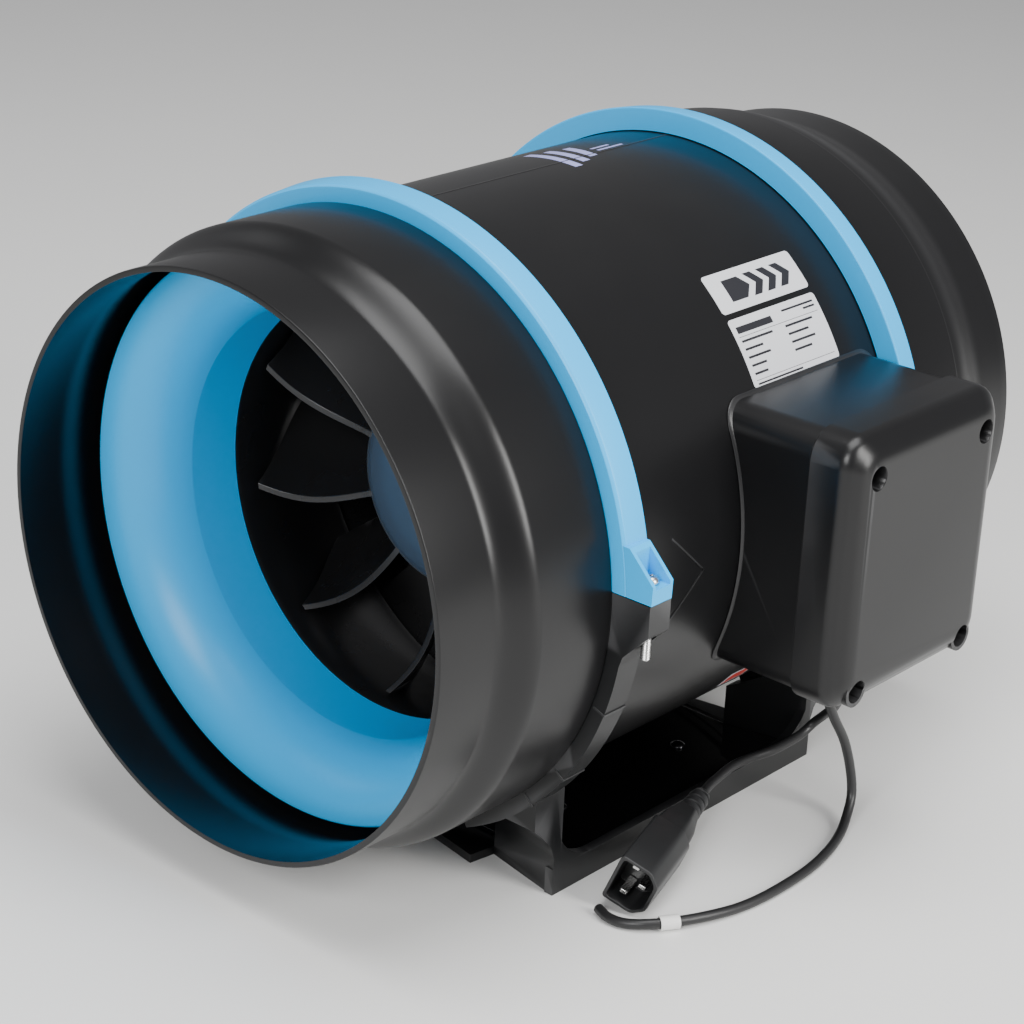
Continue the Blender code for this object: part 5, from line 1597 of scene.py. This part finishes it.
# --- Leads and plug ---------------------------------------------------------------------
@dataclass
class Leads(SubAssembly):
    """The mains lead with its plug, and the control lead with its white sleeve."""

    radius: float = 0.0022
    mouth: Vector = field(default_factory=lambda: Vector((0.1320, -0.0810, 0.0142)))
    tail: Vector = field(default_factory=lambda: Vector((0.1050, 0.0015, 0.0152)))
    roll: float = math.radians(-21.5)
    rim: float = 0.0150
    tag_start: Vector = field(default_factory=lambda: Vector((0.1525, -0.0730, 0.0034)))
    tag_end: Vector = field(default_factory=lambda: Vector((0.1480, -0.0803, 0.0034)))

    @property
    def length(self) -> float:
        """The plug's length from mouth to tail."""
        return (self.tail - self.mouth).length

    @property
    def plug_frame(self) -> Matrix:
        """The plug's own frame: +Y to the tail, from the mouth's centre."""
        along = (self.tail - self.mouth).normalized()
        across = along.cross(Vector((0.0, 0.0, 1.0))).normalized()
        basis = Matrix((across, along, across.cross(along))).transposed().to_4x4()
        return Matrix.Translation(self.mouth) @ basis @ Matrix.Rotation(-self.roll, 4, "Y")

    def build(self) -> None:
        plug = [self.body(), *self.pins(), self.relief()]
        start_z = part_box("mains_gland")[0].z - 1.5 * GAP
        along = (self.tail - self.mouth).normalized()
        mains = self.mains(start_z, along)
        control = self.control(start_z)
        for name, node, route, far_end, pieces in (
                ("mains_cord", "mains_lead", mains, "plug", plug),
                ("control_cord", "control_lead", control, "bare", [self.sleeve()])):
            curve = self.cord(name, route)
            self.add(curve, CORD, node)
            points = smooth_route(route, 0.002)
            length = sum((b - a).length for a, b in zip(points, points[1:]))

    def mains(self, start_z: float, along: Vector) -> list[Place]:
        """Return the mains lead's route, from its gland along the bracket's rim to the plug."""
        rim = self.rim
        return [(0.1340, 0.0530, start_z), (0.1340, 0.0530, start_z - 0.0080), (0.1320, 0.0620, 0.0570),
                (0.1220, 0.0760, 0.0400), (0.1110, 0.0850, 0.0280), (0.1038, 0.0865, 0.0200),
                (0.1021, 0.0800, 0.0160), (0.1020, 0.0680, 0.0152), (0.1016, 0.0570, rim + 0.0002),
                (0.0990, 0.0450, rim + 0.0001), (0.0980, 0.0330, rim), (0.1000, 0.0200, rim + 0.0001),
                tuple(self.tail + along * 0.0080), tuple(self.tail - along * 0.0060)]

    def control(self, start_z: float) -> list[Place]:
        """Return the control lead's route, from its gland down to the floor and forward."""
        floor = self.radius + 0.0001
        return [(0.1440, 0.0330, start_z), (0.1440, 0.0330, start_z - 0.0080), (0.1443, 0.0410, 0.0545),
                (0.1455, 0.0495, 0.0400), (0.1466, 0.0550, 0.0240), (0.1482, 0.0555, 0.0120),
                (0.1515, 0.0480, 0.0048), (0.1560, 0.0370, floor), (0.1612, 0.0205, floor),
                (0.1645, 0.0000, floor), (0.1648, -0.0250, floor), (0.1628, -0.0430, floor),
                (0.1590, -0.0580, 0.0030), tuple(self.tag_start), (0.1450, -0.0840, 0.0034),
                (0.1370, -0.0895, 0.0026), (0.1290, -0.0905, floor), (0.1215, -0.0880, floor)]

    def cord(self, name: str, route: Sequence[Place]) -> bpy.types.Object:
        """Build a lead as a round curve along its route."""
        points = smooth_route(route, 0.0030)
        curve = bpy.data.curves.new(name, "CURVE")
        curve.dimensions = "3D"
        curve.bevel_depth = self.radius
        curve.bevel_resolution = 6
        curve.use_fill_caps = True
        spline = curve.splines.new("POLY")
        spline.points.add(len(points) - 1)
        for target, point in zip(spline.points, points):
            target.co = (*point, 1.0)
        spline.use_smooth = True
        lead = bpy.data.objects.new(name, curve)
        bpy.context.scene.collection.objects.link(lead)
        return lead

    def outline(self, grow: float, scale: float = 1.0) -> list[Point]:
        """Return the mouth's outline, with two corners cut off on one side."""
        flat, far = -0.0091 - grow, 0.0105 + grow
        slant, half, nose = 0.0052 + 0.4 * grow, 0.0118 + grow, 0.0068 + 0.4 * grow
        corners = [(flat, -half), (slant, -half), (far, -nose), (far, nose), (slant, half), (flat, half)]
        return softened([(x * scale, z * scale, 0.0018 * scale) for x, z in corners], 4)

    def body(self) -> bpy.types.Object:
        """Build the plug's moulded body with its open mouth and waisted grip."""
        stations = [(0.0, 0.985), (0.0006, 1.0), (0.0384, 1.0), (0.0390, 0.985), (0.0391, 0.88),
                    (0.0420, 0.87), (0.0460, 0.85), (0.0510, 0.80), (0.0560, 0.70), (0.0610, 0.60),
                    (0.0650, 0.53), (0.0660, 0.51)]
        rows = [[(x, along, z) for x, z in self.outline(0.0, scale)] for along, scale in stations]
        bm = bmesh.new()
        skin(bm, rows, wrap=False, cap=True)
        body = solid("plug_moulding_body", bm, 30.0)
        shaped(body, prism("mouth", self.outline(-0.0016), Axis.Y, -0.0100, 0.0160), Cut.AWAY, 30.0)
        moved(body, self.plug_frame)
        return self.add(eased_edges(body, 0.0003, 2, 45.0), PLUG, "plug_body")

    def pins(self) -> list[bpy.types.Object]:
        """Build the three flat pins with rounded tips."""
        made = []
        places = {"earth": (0.0040, 0.0), "line": (-0.0020, 0.0070), "neutral": (-0.0020, -0.0070)}
        for name, (x, z) in places.items():
            outline = softened([(x - 0.0020, 0.0040, 0.0012), (x + 0.0020, 0.0040, 0.0012),
                                (x + 0.0020, 0.0157),
                                (x - 0.0020, 0.0157)], 5)
            pin = prism(f"pin_{name}", outline, Axis.Z, z - 0.0010, z + 0.0010)
            moved(pin, self.plug_frame)
            made.append(self.add(eased_edges(pin, 0.0004, 3), ZINC, f"plug_pin_{name}"))
        return made

    def relief(self) -> bpy.types.Object:
        """Build the ribbed strain relief behind the plug."""
        outline = [(0.0, 0.0663), (0.0054, 0.0663), (0.0056, 0.0666)]
        for step in range(3):
            start = 0.0675 + 0.0056 * step
            radius = 0.0054 - 0.0003 * step
            neck = radius - 0.0017
            outline += [(radius - 0.0001, start), (radius, start + 0.0003), (radius, start + 0.0031),
                        (radius - 0.0003, start + 0.0034), (neck, start + 0.0037), (neck, start + 0.0049),
                        (radius - 0.0004, start + 0.0054)]
        outline += [(0.0038, self.length - 0.0004), (0.0034, self.length), (0.0, self.length)]
        relief = lathe("plug_relief", outline, (0.0, 0.0, 0.0), SMALL)
        moved(relief, self.plug_frame)
        return self.add(relief, PLUG, "plug_strain_relief")

    def sleeve(self) -> bpy.types.Object:
        """Build the white sleeve on the control lead."""
        reach = self.tag_end - self.tag_start
        half = reach.length / 2.0
        outline = softened([(0.0026, -half, 0.0001), (0.0031, -half, 0.0002), (0.0031, half, 0.0002),
                            (0.0026, half, 0.0001)], 3)
        sleeve = lathe("control_sleeve", outline, (0.0, 0.0, 0.0), SMALL)
        turn = Matrix.Rotation(math.atan2(-reach.x, reach.y), 4, "Z")
        moved(sleeve, Matrix.Translation((self.tag_start + self.tag_end) / 2.0) @ turn)
        return self.add(sleeve, WHITE, "control_lead_tag")


# --- Labels -----------------------------------------------------------------------------
@dataclass
class Labels(SubAssembly):
    """Plain printed labels: a flow arrow, a blank data plate, a motif and a small red mark."""

    radius: float = 0.1300
    film: float = 0.00012
    ink: float = 0.00003

    def build(self) -> None:
        """Build the four labels."""
        self.arrow()
        self.plate()
        self.motif()
        self.warning()

    def sheet(self, name: str, place: Wrap, half_along: float, half_round: float, finish: Finish) -> None:
        """Lay a label's film with rounded corners."""
        outline = rounded_rectangle((-half_along, -half_round), (half_along, half_round), 0.0018, 5)
        self.add(place.lay(name, [outline], self.film, lift=0.00002), finish)

    def arrow(self) -> None:
        """Lay the label with the block arrow and its three chevrons."""
        place = Wrap(self.radius, self.layout.axis_z, 46.85, 0.0330)
        self.sheet("flow_label", place, 0.0300, 0.0094, LABEL)
        shapes: list[list[Point]] = [[(-0.0200, -0.0052), (-0.0095, -0.0052), (-0.0045, 0.0),
                                      (-0.0095, 0.0052),
                                      (-0.0200, 0.0052)]]
        for step in range(3):
            tail = -0.0052 + 0.0092 * step
            shapes.append([(tail, -0.0055), (tail + 0.0052, -0.0055), (tail + 0.0102, 0.0),
                           (tail + 0.0052, 0.0055), (tail, 0.0055), (tail + 0.0050, 0.0)])
        self.add(place.lay("flow_label_print", shapes, self.ink, lift=self.film + 0.00003), INK)

    def plate(self) -> None:
        """Lay the data plate, whose printing is only plain bars and rules."""
        place = Wrap(self.radius, self.layout.axis_z, 34.8, 0.0330)
        self.sheet("data_label", place, 0.0300, 0.0152, LABEL)
        shapes: list[list[Point]] = []

        def bar(start: float, end: float, middle: float, thick: float) -> None:
            low, high = middle - thick / 2, middle + thick / 2
            shapes.append([(start, low), (end, low), (end, high), (start, high)])

        bar(-0.0270, -0.0030, 0.0100, 0.0030)
        bar(0.0050, 0.0270, 0.0118, 0.0009)
        bar(0.0190, 0.0270, 0.0098, 0.0009)
        bar(-0.0275, 0.0275, 0.0070, 0.0002)
        bar(-0.0275, 0.0275, -0.0122, 0.0002)
        lengths = ((0.0210, 0.0190), (0.0120, 0.0140), (0.0150, 0.0165), (0.0100, 0.0120), (0.0090, 0.0))
        for row, (left, right) in enumerate(lengths):
            middle = 0.0050 - 0.0036 * row
            bar(-0.0270, -0.0270 + left, middle, 0.0010)
            if right > 0.0:
                bar(0.0030, 0.0030 + right, middle, 0.0010)
        bar(-0.0270, 0.0040, -0.0138, 0.0008)
        self.add(place.lay("data_label_print", shapes, self.ink, lift=self.film + 0.00003), INK)

    def motif(self) -> None:
        """Lay the pale motif on top: three slanting vanes and two thin rules."""
        place = Wrap(self.radius, self.layout.axis_z, 96.2, 0.0330)
        shapes: list[list[Point]] = []
        for step in range(3):
            left = -0.0200 + 0.0090 * step
            height = 0.0175 - 0.0035 * step
            shapes.append([(left, -height), (left + 0.0048, -height), (left + 0.0100, height),
                           (left + 0.0052, height)])
        shapes.append([(0.0092, -0.0060), (0.0260, -0.0060), (0.0260, -0.0044), (0.0092, -0.0044)])
        shapes.append([(0.0092, -0.0020), (0.0210, -0.0020), (0.0210, -0.0004), (0.0092, -0.0004)])
        self.add(place.lay("top_motif", shapes, self.ink, lift=0.00003), MOTIF)

    def warning(self) -> None:
        """Lay the small red mark with its white border, low on the casing."""
        place = Wrap(self.radius, self.layout.axis_z, -41.5, 0.0310)
        self.sheet("red_label", place, 0.0095, 0.0060, LABEL)
        inner = rounded_rectangle((-0.0080, -0.0046), (0.0080, 0.0046), 0.0012, 5)
        self.add(place.lay("red_label_print", [inner], self.ink, lift=self.film + 0.00003), RED)


# --- Inner pieces kept from the CAD model -----------------------------------------------
@dataclass
class InnerPieces(SubAssembly):
    """Motor, seals and box contents: CAD solids whose shape is right, given real finishes."""

    def build(self) -> None:
        """Dress the CAD nodes that stay, with eased edges where they are machined."""
        finishes: dict[Finish, tuple[str, ...]] = {
            STEEL: ("rotor_cup", "motor_shaft", "front_bearing", "rear_bearing"),
            STACK: ("stator_core", "rotor_ring"),
            COPPER: ("front_winding", "rear_winding"),
            CAST: ("motor_flange",),
            WHITE: ("terminal_block", "run_capacitor"),
            RUBBER: ("inlet_seal", "outlet_seal", "cover_seal"),
            CASING: ("mains_gland_nut", "control_gland_nut"),
        }
        for finish, names in finishes.items():
            for name in names:
                node = frame["nodes"][name]
                finish.dress(node)
                eased_edges(node, 0.0002, 1, 50.0)
                LOG.info("%s: %s keeps its CAD shape", type(self).__name__, name)


# --- Studio -----------------------------------------------------------------------------
@dataclass(frozen=True)
class SoftBox:
    """A rectangular soft light.

    Attributes:
        name: The light's name.
        place: Where it stands.
        aim: What it looks at.
        size: Width and height.
        power: Watts.
        colour: The light's colour.
    """

    name: str
    place: Place
    aim: Place
    size: Point
    power: float
    colour: Colour = (1.0, 1.0, 1.0)

    def build(self) -> None:
        """Add the light."""
        data = bpy.data.lights.new(self.name, "AREA")
        data.shape = "RECTANGLE"
        data.size, data.size_y = self.size
        data.energy = self.power
        data.color = self.colour
        light = bpy.data.objects.new(self.name, data)
        light.location = self.place
        light.rotation_euler = (Vector(self.aim) - Vector(self.place)).to_track_quat("-Z", "Y").to_euler()
        bpy.context.scene.collection.objects.link(light)


@dataclass
class Studio:
    """The floor, the soft lights and the camera."""

    layout: Layout
    azimuth: float = 41.005
    elevation: float = 22.921
    roll: float = 2.587
    distance: float = 1.1722
    aim: Place = (0.0, -0.0146, 0.1231)
    lens: float = 92.07
    lights: tuple[SoftBox, ...] = (
        SoftBox("overhead_box", (0.25, -0.10, 1.60), (0.0, 0.0, 0.15), (1.1, 1.1), 26.0),
        SoftBox("right_box", (1.50, 0.15, 0.80), (0.0, 0.0, 0.15), (0.5, 1.0), 26.0, (1.0, 0.99, 0.97)),
        SoftBox("front_box", (0.60, -1.50, 0.95), (0.0, -0.10, 0.15), (0.7, 0.7), 20.0),
        SoftBox("left_box", (-1.40, -0.60, 0.90), (0.0, 0.0, 0.15), (0.9, 1.2), 5.0, (0.97, 0.98, 1.0)),
    )

    def build(self) -> None:
        """Build the studio."""
        self.floor()
        self.world()
        for light in self.lights:
            light.build()
        self.camera()

    def floor(self) -> None:
        """Lay the pale floor."""
        bm = bmesh.new()
        reach = 6.0
        signs = ((-1.0, -1.0), (1.0, -1.0), (1.0, 1.0), (-1.0, 1.0))
        bm.faces.new([bm.verts.new((reach * x, reach * y, 0.0)) for x, y in signs])
        floor = solid("studio_floor", bm)
        floor.data.materials.append(FLOOR.material())

    def world(self) -> None:
        """Fill the room with even pale light."""
        world = bpy.data.worlds.new("studio_fill")
        world.use_nodes = True
        background = world.node_tree.nodes["Background"]
        background.inputs["Color"].default_value = (0.80, 0.80, 0.82, 1.0)
        background.inputs["Strength"].default_value = 0.40
        bpy.context.scene.world = world

    def camera(self) -> None:
        """Place the camera high on the inlet's right."""
        angles = (self.azimuth, self.elevation, self.roll)
        azimuth, elevation, roll = (math.radians(value) for value in angles)
        back = Vector((math.sin(azimuth) * math.cos(elevation), -math.cos(azimuth) * math.cos(elevation),
                       math.sin(elevation)))
        level = Vector((math.cos(azimuth), math.sin(azimuth), 0.0))
        up = back.cross(level)
        right = level * math.cos(roll) + up * math.sin(roll)
        up = up * math.cos(roll) - level * math.sin(roll)
        data = bpy.data.cameras.new("studio_camera")
        data.lens = self.lens
        data.sensor_width = 36.0
        data.clip_start = 0.01
        camera = bpy.data.objects.new("studio_camera", data)
        turn = Matrix((right, up, back)).transposed().to_4x4()
        camera.matrix_world = Matrix.Translation(Vector(self.aim) + back * self.distance) @ turn
        bpy.context.scene.collection.objects.link(camera)
        bpy.context.scene.camera = camera


def main() -> None:
    """Build every sub-assembly, then the studio."""
    logging.basicConfig(level=logging.INFO, format="%(levelname)s %(message)s")
    layout = Layout.read()
    Studio(layout).build()
    assemblies = [Leads(layout), Casings(layout), InletBell(layout), Impeller(layout), GuideVanes(layout),
                  Clamp(layout, row="inlet", outward=-1.0), Clamp(layout, row="outlet", outward=1.0),
                  Bracket(layout), TerminalBox(layout), Labels(layout), InnerPieces(layout)]
    for assembly in assemblies:
        assembly.build()
        LOG.info("%s finished", type(assembly).__name__)


if __name__ == "__main__":
    main()
